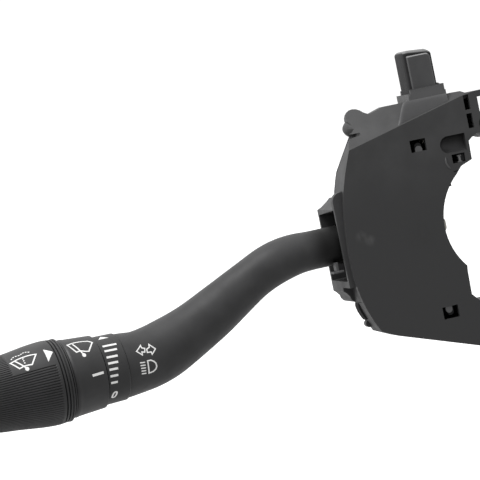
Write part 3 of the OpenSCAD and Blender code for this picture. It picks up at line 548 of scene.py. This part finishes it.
def rounded_block(low_end, size, c=0.5):
    """A block along X from the middle of its low end, with corners cut by c."""
    x, y, z = low_end
    dx, dy, dz = size
    corners = []
    for sy, sz, first in ((1, 1, 0), (1, -1, 1), (-1, -1, 0), (-1, 1, 1)):
        a = (sy * (dy / 2 - c), sz * dz / 2)
        b = (sy * dy / 2, sz * (dz / 2 - c))
        corners += [a, b] if not first else [b, a]
    return loft([[(x + t * dx, y + cy, z + cz) for cy, cz in corners] for t in (0, 1)])


def hinge_eye():
    """The eye round the hinge pin at the lever's root."""
    sides, edge = 48, 0.2
    low, high = LEVER_Z - EYE_BELOW, LEVER_Z + EYE_ABOVE
    rings = []
    for radius, z in ((PIN_BORE_R, low), (EYE_R - edge, low), (EYE_R, low + edge),
                      (EYE_R, high - edge), (EYE_R - edge, high), (PIN_BORE_R, high)):
        rings.append([
            (-BEAM_X + radius * math.cos(2 * math.pi * s / sides),
             LEVER_Y + radius * math.sin(2 * math.pi * s / sides), z)
            for s in range(sides)
        ])
    return loft(rings, loop_ends=True)


# The knob's smooth panel for its mark: from angle to angle, and to a distance from the column
PANEL_LOW, PANEL_HIGH = 28.0, 116.0
PANEL_END = 189.6
GROOVES_STOP = 3.2  # before the knob's end


def groove(x, angle):
    """Depth of the grip grooves at a place on the knob."""
    pitch = 360.0 / GROOVES
    if PANEL_LOW < angle % 360 < PANEL_HIGH and x < PANEL_END:
        return 0.0
    start = ease((x - KNOB_FROM - RIM_END) / 0.4)
    finish = ease((KNOB_FROM + KNOB_LEN - GROOVES_STOP - x) / 0.8)
    phase = (angle / pitch) % 1.0
    shape = max(0.0, 1 - abs(phase - 0.5) / 0.28)
    return GROOVE_DEPTH * start * finish * ease(shape)


def make_knob():
    """The end knob, grooved outside, with its skirt over the collar's end and its cavity."""
    per_groove = 8
    sides = GROOVES * per_groove
    end = KNOB_FROM + KNOB_LEN
    stations = [KNOB_FROM + step for step, _ in KNOB_RIM]
    stations += [KNOB_FROM + RIM_END + 0.2, KNOB_FROM + RIM_END + 0.4]
    stations += [KNOB_FROM + 4 + 0.5 * i for i in range(int((KNOB_LEN - 7.5) / 0.5))]
    outer = [(knob_radius(x), x, True) for x in stations]
    shoulder = stations[-1]
    shoulder_r = knob_radius(shoulder)
    bend = end - shoulder
    for i in range(1, 9):
        a = math.radians(90 * i / 8)
        outer.append(
            (shoulder_r - bend * (1 - math.cos(a)), shoulder + bend * math.sin(a), False))
    stop = NECK_END + WASH_TRAVEL
    profile = [
        (KNOB_BORE_R, KNOB_FROM, False),
        (SKIRT_BORE_R, KNOB_FROM, False),
        (SKIRT_BORE_R, KNOB_FROM - SKIRT, False),
        *outer,
        (shoulder_r - bend - 3, end, False),
        (0.0, end, False),
        (0.0, KNOB_CAVITY_END, False),
        (KNOB_CAVITY_R, KNOB_CAVITY_END, False),
        (KNOB_CAVITY_R, stop + 2.5, False),
        (KNOB_BORE_R, stop + 0.5, False),
    ]
    rings = []
    for radius, x, grooved in profile:
        ring = []
        for s in range(sides):
            angle = 360 * s / sides
            cut = groove(x, angle) if grooved else 0.0
            ring.append(skin_point(x, angle, max(radius - cut, 0.02)))
        rings.append(ring)
    points, faces = loft(rings, loop_ends=True)
    make_piece("knob_shell", points, faces, "knob", "knob",
               replaces=("washer_knob",))


def make_end_ring():
    """Ring on the collar's outer end, under the knob's skirt."""
    inner, side, rim = NECK_R + 0.05, COLLAR_R - 0.2, COLLAR_R + 0.1
    points, faces = turned([
        (inner, COLLAR_END + 0.05), (side, COLLAR_END + 0.05), (rim, COLLAR_END + 0.2),
        (rim, COLLAR_END + 0.55), (side, COLLAR_END + 0.7), (inner, COLLAR_END + 0.7)])
    make_piece("end_ring", points, faces, "dial", "knob", replaces=("collar_ring",))


# Hazard button

HAZARD_X = -20.2
HAZARD_FRONT = -17.0
BUTTON_DEPTH = 12
BUTTON_HALF_W = 5.5
BUTTON_LOW, BUTTON_HIGH = 47.5, 64.85
BUTTON_SIDE_R, BUTTON_TOP_R = 1.9, 1.5
BUTTON_FALL = 1.3
PLATE_LEFT, PLATE_RIGHT = HAZARD_X - 4.3, HAZARD_X + 4.5
PLATE_TOP = BUTTON_HIGH - 2.05
PLATE_FRONT, PLATE_BACK = HAZARD_FRONT - 0.45, HAZARD_FRONT + 0.8
PLATE_CHAMFER = 0.42
PLATE_LEFT_R, PLATE_RIGHT_R = 0.4, 1.6


def make_button():
    """The button: a rounded post whose top falls to the right, and its raised front plate."""
    mid_y, half_d = HAZARD_FRONT + BUTTON_DEPTH / 2, BUTTON_DEPTH / 2
    shoulder = BUTTON_HIGH - BUTTON_TOP_R
    levels = [(BUTTON_LOW, 0.0), (shoulder, 0.0)]
    for degrees in (15, 30, 45, 60, 75, 90):
        a = math.radians(degrees)
        levels.append((shoulder + BUTTON_TOP_R * math.sin(a), BUTTON_TOP_R * (1 - math.cos(a))))
    rings = []
    for z, inset in levels:
        r = max(BUTTON_SIDE_R - inset * 0.6, 0.3)
        height = (z - BUTTON_LOW) / (BUTTON_HIGH - BUTTON_LOW)
        ring = []
        for sx, sy, first in ((1, 1, 0), (-1, 1, 90), (-1, -1, 180), (1, -1, 270)):
            for k in range(7):
                a = math.radians(first + 15 * k)
                x = sx * (BUTTON_HALF_W - inset - r) + r * math.cos(a)
                y = sy * (half_d - inset - r) + r * math.sin(a)
                fall = BUTTON_FALL * ease((x - 1.2) / 4.3) * height
                ring.append((HAZARD_X + x, mid_y + y, z - fall))
        rings.append(ring)
    points, faces = loft(rings)
    make_piece("button_cap", points, faces, "hazard", "button",
               replaces=("hazard_button",))
    points, faces = button_plate()
    make_piece("button_panel", points, faces, "hazard", "panel")


def button_plate():
    """The raised plate, chamfered round its front and rounder at its right corner."""
    outline = [(PLATE_LEFT, BUTTON_LOW), (PLATE_RIGHT, BUTTON_LOW)]
    for x, r, first in ((PLATE_RIGHT - PLATE_RIGHT_R, PLATE_RIGHT_R, 0),
                        (PLATE_LEFT + PLATE_LEFT_R, PLATE_LEFT_R, 90)):
        for k in range(7):
            a = math.radians(first + 15 * k)
            outline.append((x + r * math.cos(a), PLATE_TOP - r + r * math.sin(a)))
    mid_x, mid_z = (PLATE_LEFT + PLATE_RIGHT) / 2, (BUTTON_LOW + PLATE_TOP) / 2
    shrink_x = 1 - 2 * PLATE_CHAMFER / (PLATE_RIGHT - PLATE_LEFT)
    shrink_z = 1 - 2 * PLATE_CHAMFER / (PLATE_TOP - BUTTON_LOW)
    return loft([
        [(x, PLATE_BACK, z) for x, z in outline],
        [(x, PLATE_FRONT + PLATE_CHAMFER, z) for x, z in outline],
        [(mid_x + (x - mid_x) * shrink_x, PLATE_FRONT, mid_z + (z - mid_z) * shrink_z)
         for x, z in outline],
    ])


# Cover: its sloping top is carved lower than the solid's, and its lower edge hangs lower

SLOPE_AT = (-53.7, -20.0, 33.9)
SLOPE_ALONG, SLOPE_BACK = 0.243, 1.08
LOWER_EDGE = {(-33.6, -38.8): 0.7, (-19.0, -42.7): 1.75}  # (x, z) of a corner, and the drop
CORNER_REACH = 0.2


def slope_z(x, y):
    """Height of the cover's sloping top."""
    return SLOPE_AT[2] + SLOPE_ALONG * (x - SLOPE_AT[0]) + SLOPE_BACK * (y - SLOPE_AT[1])


def carve_cover():
    """A copy of the front cover with its top cut along the slope and closed again."""
    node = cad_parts["front_cover"]
    shape = bmesh.new()
    shape.from_mesh(node.data)
    shape.transform(node.matrix_world)
    bmesh.ops.remove_doubles(shape, verts=shape.verts, dist=WELD * MM)
    for corner in shape.verts:
        for (x, z), drop in LOWER_EDGE.items():
            if math.dist((corner.co.x, corner.co.z), (x * MM, z * MM)) < CORNER_REACH * MM:
                corner.co.z -= drop * MM
    normal = Vector((-SLOPE_ALONG, -SLOPE_BACK, 1)).normalized()
    cut = bmesh.ops.bisect_plane(
        shape, geom=shape.verts[:] + shape.edges[:] + shape.faces[:],
        plane_co=Vector(SLOPE_AT) * MM, plane_no=normal, clear_outer=True)
    rim = [part for part in cut["geom_cut"] if isinstance(part, bmesh.types.BMEdge)]
    bmesh.ops.triangle_fill(shape, use_beauty=True, edges=rim, normal=normal)
    mesh = bpy.data.meshes.new("cover_shell")
    shape.to_mesh(mesh)
    shape.free()
    mesh.materials.append(MATERIALS["housing"])
    piece = bpy.data.objects.new("cover_shell", mesh)
    bpy.context.scene.collection.objects.link(piece)
    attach(piece, "housing")
    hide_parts("front_cover")
    soften(piece, SOFT_EDGE_MM["front_cover"])


# Small forms on the housing and at the lever's root

FAIRING_LEFT, FAIRING_FULL, FAIRING_RIGHT = -33.5, -28.6, -13.0
FAIRING_TOP, FAIRING_FRONT, FAIRING_BACK = 47.1, -19.7, -18.4
STRIP_OUT = Vector((-0.963, -0.27))
STRIP = ((-58.55, -20.6, 0.3), (-58.2, -21.8, 0.7), (-57.7, -23.4, 0.8), (-57.0, -25.2, 0.8),
         (-56.4, -26.8, 0.6))  # x, z, how far it stands out
STRIP_FRONT, STRIP_BACK, STRIP_SUNK = -12.6, -7.6, -0.3
TAB_FRONT, TAB_BACK = -19.8, -19.0
CHANNEL_LEFT, CHANNEL_RIGHT, CHANNEL_Z = -19.35, -9.65, 28.8
CHANNEL_HALF, CHANNEL_DEPTH, CHANNEL_FRONT = 3.08, 2.5, -19.85
RIM_CENTRE, RIM_R, RIM_TUBE = (-13.9, -20.0, 23.2), 4.5, 0.35
RIM_FROM, RIM_SWEEP = 162, 63
# Blocks, as (middle of the low X end, size)
# Painted light: an I-shaped pale plate in the second window, standing in for the light that shows
# through it
LIGHT_PLATE_BLOCKS = (
    ((-13.4, -19.0, 23.1), (0.75, 1.2, 2.4)),
    ((-13.7, -19.0, 24.2), (1.4, 1.2, 0.5)),
    ((-13.7, -19.0, 22.0), (1.4, 1.2, 0.5)),
)
RAIL_BLOCKS = (
    ((-65.9, -12.6, -7.8), (3.9, 4.4, 0.8)),
    ((-64.6, -12.6, -6.0), (0.9, 3.6, 3.4)),
)
STEP_BLOCK = ((-16.3, -19.95, 19.0), (1.5, 0.4, 0.45))
# Tabs, as x, height of the window's edge, up (1) or down (-1), half-width, length
TABS = ((-27.4, 27.95, 1, 1.3, 2.7), (-28.0, -28.0, -1, 1.2, 2.3))


def make_fairing():
    """Fillet that carries the slope up into the front of the hazard button's collar."""
    rings = []
    for i in range(25):
        x = FAIRING_LEFT + (FAIRING_RIGHT - FAIRING_LEFT) * i / 24
        base = slope_z(x, FAIRING_FRONT)
        grown = max(0.02, ease((x - FAIRING_LEFT) / (FAIRING_FULL - FAIRING_LEFT)))
        high = base + (FAIRING_TOP - base) * grown
        behind = max(slope_z(x, FAIRING_BACK) - 0.8, base - 0.6)
        profile = []
        for k in range(7):
            a = math.radians(15 * k)
            y = FAIRING_FRONT + 0.8 * (1 - math.cos(a))
            curve = base + (high - base) * math.sin(a) ** 1.6
            profile.append((x, y, max(curve, slope_z(x, y) - 0.3)))
        profile += [(x, FAIRING_BACK, max(high, behind + 0.2)), (x, FAIRING_BACK, behind),
                    (x, FAIRING_FRONT, base - 0.6)]
        rings.append(profile)
    points, faces = loft(rings)
    # Painted light: the fillet takes the collar's lighter grey rather than the housing's, so its
    # steep front looks as lit as the slope
    make_piece("collar_fairing", points, faces, "housing", "fitting")


def make_window_rim():
    """Thin raised rim round the lower left of the second window."""
    x, y, z = RIM_CENTRE
    rings = []
    for i in range(15):
        a = math.radians(RIM_FROM + RIM_SWEEP * i / 14)
        size = RIM_TUBE * min(1.0, 0.25 + 0.75 * ease(min(i, 14 - i) / 3))
        ring = []
        for k in range(12):
            b = math.radians(30 * k)
            out = RIM_R + size * math.cos(b)
            ring.append((x + out * math.cos(a), y - size * math.sin(b), z + out * math.sin(a)))
        rings.append(ring)
    points, faces = loft(rings)
    make_piece("window_rim", points, faces, "housing", "fitting")


def make_fittings():
    """Pale plate of painted light in the second window, tabs in the windows, rail at the lever's
    root, step under the second window.
    """
    points, faces = join_parts([rounded_block(*block, 0.15) for block in LIGHT_PLATE_BLOCKS])
    make_piece("window_light_plate", points, faces, "housing", "pale")
    points, faces = join_parts([rounded_block(*block, 0.2) for block in RAIL_BLOCKS])
    make_piece("root_rail", points, faces, "lever", "fitting")
    points, faces = join_parts([window_tab(*tab) for tab in TABS])
    make_piece("window_tabs", points, faces, "housing", "fitting")
    points, faces = rounded_block(*STEP_BLOCK, 0.1)
    make_piece("edge_step", points, faces, "housing", "rear")


def window_tab(x, edge_z, up, half_width, length):
    """Round-ended tab that reaches from a window's edge into it."""
    outline = [(x - half_width, edge_z), (x + half_width, edge_z)]
    for k in range(13):
        a = math.radians(15 * k)
        reach = length - half_width * (1 - math.sin(a))
        outline.append((x + half_width * math.cos(a), edge_z + up * reach))
    return loft([[(px, y, pz) for px, pz in outline] for y in (TAB_FRONT, TAB_BACK)])


def make_rim_strip():
    """Dark bead along the lower left edge, between the lever's guard and the screw boss."""
    rings = []
    for x, z, proud in STRIP:
        section = (
            (STRIP_SUNK, STRIP_FRONT), (proud - 0.25, STRIP_FRONT), (proud, STRIP_FRONT + 0.3),
            (proud, STRIP_BACK - 0.3), (proud - 0.25, STRIP_BACK), (STRIP_SUNK, STRIP_BACK))
        rings.append([(x + STRIP_OUT.x * side, y, z + STRIP_OUT.y * side) for side, y in section])
    points, faces = loft(rings)
    make_piece("rim_strip", points, faces, "housing", "rear")


def make_channel_liner():
    """Shallow half-round floor of the channel under the slots, with a round left end."""
    bend_x = CHANNEL_LEFT + CHANNEL_HALF
    stations = [CHANNEL_LEFT + CHANNEL_HALF * (1 - math.cos(math.radians(9 * k)))
                for k in range(1, 11)]
    stations += [bend_x + (CHANNEL_RIGHT - bend_x) * k / 6 for k in range(1, 7)]
    back = CHANNEL_FRONT + CHANNEL_DEPTH + 0.4
    rings = []
    for x in stations:
        into_end = max(0.0, bend_x - x) / CHANNEL_HALF
        half = CHANNEL_HALF * math.sqrt(max(0.0, 1 - into_end ** 2))
        ring = []
        for k in range(17):
            a = math.radians(-90 + 180 * k / 16)
            deep = CHANNEL_DEPTH * half / CHANNEL_HALF * math.cos(a)
            ring.append((x, CHANNEL_FRONT + deep, CHANNEL_Z + half * math.sin(a)))
        rings.append(ring + [(x, back, CHANNEL_Z + half), (x, back, CHANNEL_Z - half)])
    points, faces = loft(rings)
    make_piece("channel_liner", points, faces, "housing", "channel")


# Springs: node, body it rides on, joint, direction away from its held end, the joint's travel
SPRINGS = [
    ("detent_spring", "carrier", "detent_press", (1, 0, 0), 1.0),
    ("washer_spring", "knob", "wash_push", (math.cos(DIAL_YAW), math.sin(DIAL_YAW), 0),
     WASH_TRAVEL),
    ("hazard_spring", "housing", "hazard_push", (0, 0, 1), 5.0),
    ("pawl_spring", "housing", "pawl_retract", (1, 0, 0), 2.0),
]


def make_springs():
    """Copies of the coil springs, riding on their bodies in place of the CAD nodes."""
    for name, body, joint, along, travel in SPRINGS:
        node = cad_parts[name]
        piece = bpy.data.objects.new(name.replace("spring", "coil"), node.data.copy())
        piece.matrix_world = node.matrix_world
        bpy.context.scene.collection.objects.link(piece)
        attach(piece, body)
        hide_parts(name)
        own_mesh(piece)


# Printed marks: raised strokes on the skins of lever, band, collar and knob

def on_band(x, angle, lift):
    return skin_point(x, angle, steps(BAND_SKIN, x), lift)


def on_collar(x, angle, lift):
    return skin_point(x, angle, steps(COLLAR_SKIN, x), lift)


def on_knob(x, angle, lift):
    return skin_point(x, angle, knob_radius(x), lift)


def on_lever(x, angle, lift):
    return skin_point(x, angle, lever_radius(x), lift)


BOLD = 1.15  # how much wider the strokes are drawn than the widths given with them
INK_TOP, INK_SUNK = 0.05, -0.12


def stroke(line, width, surface, at, closed, radius):
    """A thin raised ribbon along a line of (outward, up) millimetres round a point of a skin.

    A point may carry its own half-width. The skin's radius turns millimetres into angle.
    """
    line = [(*p, BOLD * width / 2) if len(p) == 2 else (p[0], p[1], BOLD * p[2]) for p in line]
    if closed:
        line = line + [line[0]]
    fine = []
    for (ua, va, wa), (ub, vb, wb) in zip(line, line[1:]):
        count = max(1, math.ceil(math.hypot(ub - ua, vb - va) / 0.4))
        for i in range(count):
            t = i / count
            fine.append((ua + (ub - ua) * t, va + (vb - va) * t, wa + (wb - wa) * t))
    if not closed:
        fine.append(line[-1])
    n = len(fine)
    rings = []
    for i, (u, v, half) in enumerate(fine):
        before = fine[i - 1] if (closed or i) else fine[i]
        after = fine[(i + 1) % n] if (closed or i < n - 1) else fine[i]
        d1 = Vector((u - before[0], v - before[1]))
        d2 = Vector((after[0] - u, after[1] - v))
        d1 = d1.normalized() if d1.length > 1e-6 else d2.normalized()
        d2 = d2.normalized() if d2.length > 1e-6 else d1
        mean = (d1 + d2).normalized() if (d1 + d2).length > 1e-6 else d1
        side = Vector((-mean.y, mean.x)) * (half / max(0.45, mean.dot(d1)))
        ring = []
        for sign, lift in ((1, INK_TOP), (-1, INK_TOP), (-1, INK_SUNK), (1, INK_SUNK)):
            du, dv = u + sign * side.x, v + sign * side.y
            ring.append(surface(at[0] + du, at[1] + math.degrees(dv / radius), lift))
        rings.append(ring)
    return loft(rings, loop_ends=closed)


def wedge(base_a, base_b, tip, surface, at, radius):
    """A filled triangle of ink, in rows from its base to its tip."""
    across = [(k / 6, INK_TOP) for k in range(7)] + [(1 - k / 6, INK_SUNK) for k in range(7)]
    rings = []
    for i in range(9):
        t = 0.98 * i / 8
        ring = []
        for share, lift in across:
            base = [a + (b - a) * share for a, b in zip(base_a, base_b)]
            u, v = (b + (end - b) * t for b, end in zip(base, tip))
            ring.append(surface(at[0] + u, at[1] + math.degrees(v / radius), lift))
        rings.append(ring)
    return loft(rings)


def make_mark(name, body, strokes):
    points, faces = join_parts(strokes)
    make_piece(name, points, faces, body, "ink", smooth=False)


def disc_line(u, v, r):
    """A line along a disc's width whose half-width makes the disc."""
    out = []
    for k in range(13):
        a = math.radians(-90 + 15 * k)
        out.append((u + r * math.sin(a), v, max(0.02, r * math.cos(a))))
    return out


# Places of the marks: (distance from the column, angle) and the skin's radius there
WASH_AT, WASH_SKIN_R = (184.3, 32.9), 14.3
WIPE_AT, WIPE_SKIN_R = (163.3, 34.9), 13.7
INDEX_AT, INDEX_SKIN_R = (162.5, 1.2), 13.6
SPEED_AT, SPEED_SKIN_R = (154.8, -43.4), 12.1
TURN_AT, BEAM_AT, SIGNAL_SKIN_R = (140.2, 22.4), (141.3, -9.9), 11.0

# Lines of the marks: (outward, up) from their places
WASH_SCREEN = [
    (4.6, 4.5), (2.4, 0.95), (0.7, 1.4), (-0.8, 1.3), (-2.1, 1.05), (-4.8, 4.8),
    (-3.5, 5.15), (-1.7, 5.4), (0.4, 5.4), (2.4, 5.15),
]
WIPE_SCREEN = [
    (4.1, 6.0), (2.2, 1.75), (0.7, 2.1), (-1.0, 1.4), (-2.2, 1.15), (-4.9, 5.25),
    (-3.6, 6.5), (-1.7, 6.9), (0.4, 7.0), (2.3, 6.7),
]
SPRAY_ARC = [
    (3.9, 6.1), (3.2, 6.9), (2.2, 7.4), (1.2, 7.2), (0.2, 7.1), (-0.7, 7.7), (-1.6, 7.85),
    (-2.5, 7.45), (-3.3, 6.8),
]
LEFT_ARROW = [
    (4.0, 0.4), (1.3, 2.3), (1.4, 1.3), (0.2, 0.7), (0.8, -0.6), (1.9, -0.2), (2.1, -1.3),
]
RIGHT_ARROW = [
    (-3.6, -0.9), (-2.1, 1.6), (-1.7, 0.5), (-0.4, 0.2), (-0.1, -1.0), (-1.6, -1.3),
    (-1.6, -2.2),
]
LENS = [
    (-0.2, 2.4), (-1.4, 2.25), (-2.3, 1.5), (-2.8, 0.6), (-2.8, -0.6), (-2.2, -1.5),
    (-1.2, -2.0), (0.3, -2.05),
]
# Bars of the speed dial: up, and from where to where outward
SPEED_BARS = [
    (19.0, 0.6, -4.5), (16.8, 0.7, -3.9), (14.3, 0.8, -3.3), (12.1, 0.9, -2.8),
    (9.9, 1.0, -2.2), (7.6, 1.1, -1.8), (5.2, 1.2, -1.3),
]
INK_W = 0.42
PIVOT_R = 0.7


def make_wash_marks():
    place = (on_knob, WASH_AT)
    strokes = [
        stroke(WASH_SCREEN, INK_W, *place, True, WASH_SKIN_R),
        stroke([(2.9, 4.8), (0.1, 0.3)], INK_W, *place, False, WASH_SKIN_R),
        stroke(disc_line(0, 0, PIVOT_R), 1, *place, False, WASH_SKIN_R),
    ]
    for (ua, va), (ub, vb) in zip(SPRAY_ARC, SPRAY_ARC[1:]):
        mid_u, mid_v = (ua + ub) / 2, (va + vb) / 2
        du, dv = (ub - ua) * 0.3, (vb - va) * 0.3
        dash = [(mid_u - du, mid_v - dv), (mid_u + du, mid_v + dv)]
        strokes.append(stroke(dash, 0.36, *place, False, WASH_SKIN_R))
    for v in (2.4, 3.4, 4.4):
        strokes.append(stroke([(0.0, v), (0.05, v + 0.45)], 0.4, *place, False, WASH_SKIN_R))
    make_mark("wash_mark", "knob", strokes)
    make_mark("wash_pointer", "knob", [
        wedge((-7.8, 6.0), (-10.6, 3.8), (-7.7, 0.3), *place, WASH_SKIN_R),
    ])


def make_wiper_marks():
    place = (on_collar, WIPE_AT)
    make_mark("wiper_mark", "dial", [
        stroke(WIPE_SCREEN, INK_W, *place, True, WIPE_SKIN_R),
        stroke([(2.1, 6.1), (0.1, 0.3)], INK_W, *place, False, WIPE_SKIN_R),
        stroke(disc_line(0, 0, PIVOT_R), 1, *place, False, WIPE_SKIN_R),
    ])
    make_mark("dial_index", "dial", [
        stroke([(0.0, 0.0), (-4.2, 0.2)], 0.78, on_collar, INDEX_AT, False, INDEX_SKIN_R),
    ])


def make_speed_marks():
    """Bars that grow along the band, the pointer above them and the zero below."""
    place = (on_band, SPEED_AT)
    strokes = [stroke([(u0, v), (u1, v - 0.1)], 0.68, *place, False, SPEED_SKIN_R)
               for v, u0, u1 in SPEED_BARS]
    strokes.append(wedge((0.5, 23.2), (-0.9, 25.3), (-3.2, 23.3), *place, SPEED_SKIN_R))
    zero = []
    for k in range(16):
        a = math.pi * k / 8
        c, d = (math.copysign(abs(f) ** 0.7, f) for f in (math.cos(a), math.sin(a)))
        zero.append((0.68 * c - 0.4 * d, 0.07 * c + 1.25 * d - 0.1))
    strokes.append(stroke(zero, 0.52, *place, True, SPEED_SKIN_R))
    make_mark("speed_marks", "lever", strokes)


def make_signal_marks():
    make_mark("turn_mark", "lever", [
        stroke(LEFT_ARROW, 0.36, on_lever, TURN_AT, True, SIGNAL_SKIN_R),
        stroke(RIGHT_ARROW, 0.36, on_lever, TURN_AT, True, SIGNAL_SKIN_R),
    ])
    place = (on_lever, BEAM_AT)
    strokes = [stroke(LENS, 0.4, *place, True, SIGNAL_SKIN_R)]
    for k in range(5):
        v = 2.3 - 0.98 * k
        ray = [(2.8, v + 0.15), (0.85 + 0.09 * k, v - 0.12)]
        strokes.append(stroke(ray, 0.36, *place, False, SIGNAL_SKIN_R))
    make_mark("beam_mark", "lever", strokes)


# Stage

def camera_axes():
    """Right, up and back vectors of the camera that took the photograph."""
    a, e, r = VIEW_AZIMUTH, VIEW_ELEVATION, VIEW_ROLL
    back = Vector((math.sin(a) * math.cos(e), -math.cos(a) * math.cos(e), math.sin(e)))
    right = (-back).cross(Vector((0, 0, 1))).normalized()
    up = right.cross(-back)
    rolled_right = right * math.cos(r) - up * math.sin(r)
    rolled_up = right * math.sin(r) + up * math.cos(r)
    return rolled_right, rolled_up, back


def add_camera():
    """The camera at the photograph's place and angle, with its field of view."""
    right, up, back = camera_axes()
    data = bpy.data.cameras.new("camera")
    data.sensor_fit = "HORIZONTAL"
    data.sensor_width = SENSOR_MM
    data.lens = SENSOR_MM * FOCAL_PX / IMAGE_PX
    data.clip_start = 0.05
    data.clip_end = 50
    camera = bpy.data.objects.new("camera", data)
    axes = Matrix((right, up, back)).transposed()
    camera.matrix_world = Matrix.Translation(VIEW_PLACE) @ axes.to_4x4()
    bpy.context.scene.collection.objects.link(camera)
    bpy.context.scene.camera = camera


def add_light(name, place, size, power, aim=(-0.06, 0, 0)):
    data = bpy.data.lights.new(name, "AREA")
    data.shape = "SQUARE"
    data.size = size
    data.energy = power
    light = bpy.data.objects.new(name, data)
    light.location = place
    toward = Vector(aim) - Vector(place)
    light.rotation_euler = toward.to_track_quat("-Z", "Y").to_euler()
    bpy.context.scene.collection.objects.link(light)


def add_world():
    """White to the camera; as light, a room dimmer on the driver's side and from below."""
    world = bpy.data.worlds.new("studio")
    world.use_nodes = True
    tree = world.node_tree
    lit = tree.nodes["Background"]
    seen = tree.nodes.new("ShaderNodeBackground")
    mix = tree.nodes.new("ShaderNodeMixShader")
    path = tree.nodes.new("ShaderNodeLightPath")
    place = tree.nodes.new("ShaderNodeTexCoord")
    split = tree.nodes.new("ShaderNodeSeparateXYZ")
    tree.links.new(place.outputs["Generated"], split.inputs["Vector"])
    shares = []
    for axis, span, strengths in (("Y", (-0.9, 0.3), (0.42, 1.05)),
                                  ("Z", (-1.0, 1.0), (0.75, 1.1))):
        share = tree.nodes.new("ShaderNodeMapRange")
        share.inputs["From Min"].default_value, share.inputs["From Max"].default_value = span
        share.inputs["To Min"].default_value, share.inputs["To Max"].default_value = strengths
        tree.links.new(split.outputs[axis], share.inputs["Value"])
        shares.append(share)
    both = tree.nodes.new("ShaderNodeMath")
    both.operation = "MULTIPLY"
    tree.links.new(shares[0].outputs["Result"], both.inputs[0])
    tree.links.new(shares[1].outputs["Result"], both.inputs[1])
    tree.links.new(both.outputs["Value"], lit.inputs["Strength"])
    lit.inputs["Color"].default_value = (1, 1, 1, 1)
    seen.inputs["Color"].default_value = (1, 1, 1, 1)
    seen.inputs["Strength"].default_value = 1.1
    tree.links.new(path.outputs["Is Camera Ray"], mix.inputs["Fac"])
    tree.links.new(lit.outputs["Background"], mix.inputs[1])
    tree.links.new(seen.outputs["Background"], mix.inputs[2])
    tree.links.new(mix.outputs["Shader"], tree.nodes["World Output"].inputs["Surface"])
    bpy.context.scene.world = world


def add_floor():
    """Wide pale floor well below the part."""
    material, tree, shader, place = new_material("floor")
    greys = [(0.3, (0.93, 0.93, 0.93)), (0.7, (0.96, 0.96, 0.96))]
    tree.links.new(ramp(tree, noise(tree, place, 60, 3), greys), shader.inputs["Base Color"])
    shader.inputs["Roughness"].default_value = 0.9
    shader.inputs["Emission Color"].default_value = (1, 1, 1, 1)
    shader.inputs["Emission Strength"].default_value = 0.5
    half, level = 6.0, -0.16
    mesh = bpy.data.meshes.new("floor")
    corners = [(x * half, y * half, level) for x, y in ((-1, -1), (1, -1), (1, 1), (-1, 1))]
    mesh.from_pydata(corners, [], [(0, 1, 2, 3)])
    mesh.materials.append(material)
    floor = bpy.data.objects.new("floor", mesh)
    floor.visible_diffuse = False
    floor.visible_glossy = False
    bpy.context.scene.collection.objects.link(floor)


bpy.context.scene.view_settings.view_transform = "Standard"
dress_cad()
make_lever()
make_knob()
make_button()
carve_cover()
make_fairing()
make_window_rim()
make_fittings()
make_rim_strip()
make_channel_liner()
make_end_ring()
make_springs()
make_wash_marks()
make_wiper_marks()
make_speed_marks()
make_signal_marks()
add_camera()
add_world()
add_floor()
add_light("key", (-0.55, -0.25, 0.95), 0.5, 8)
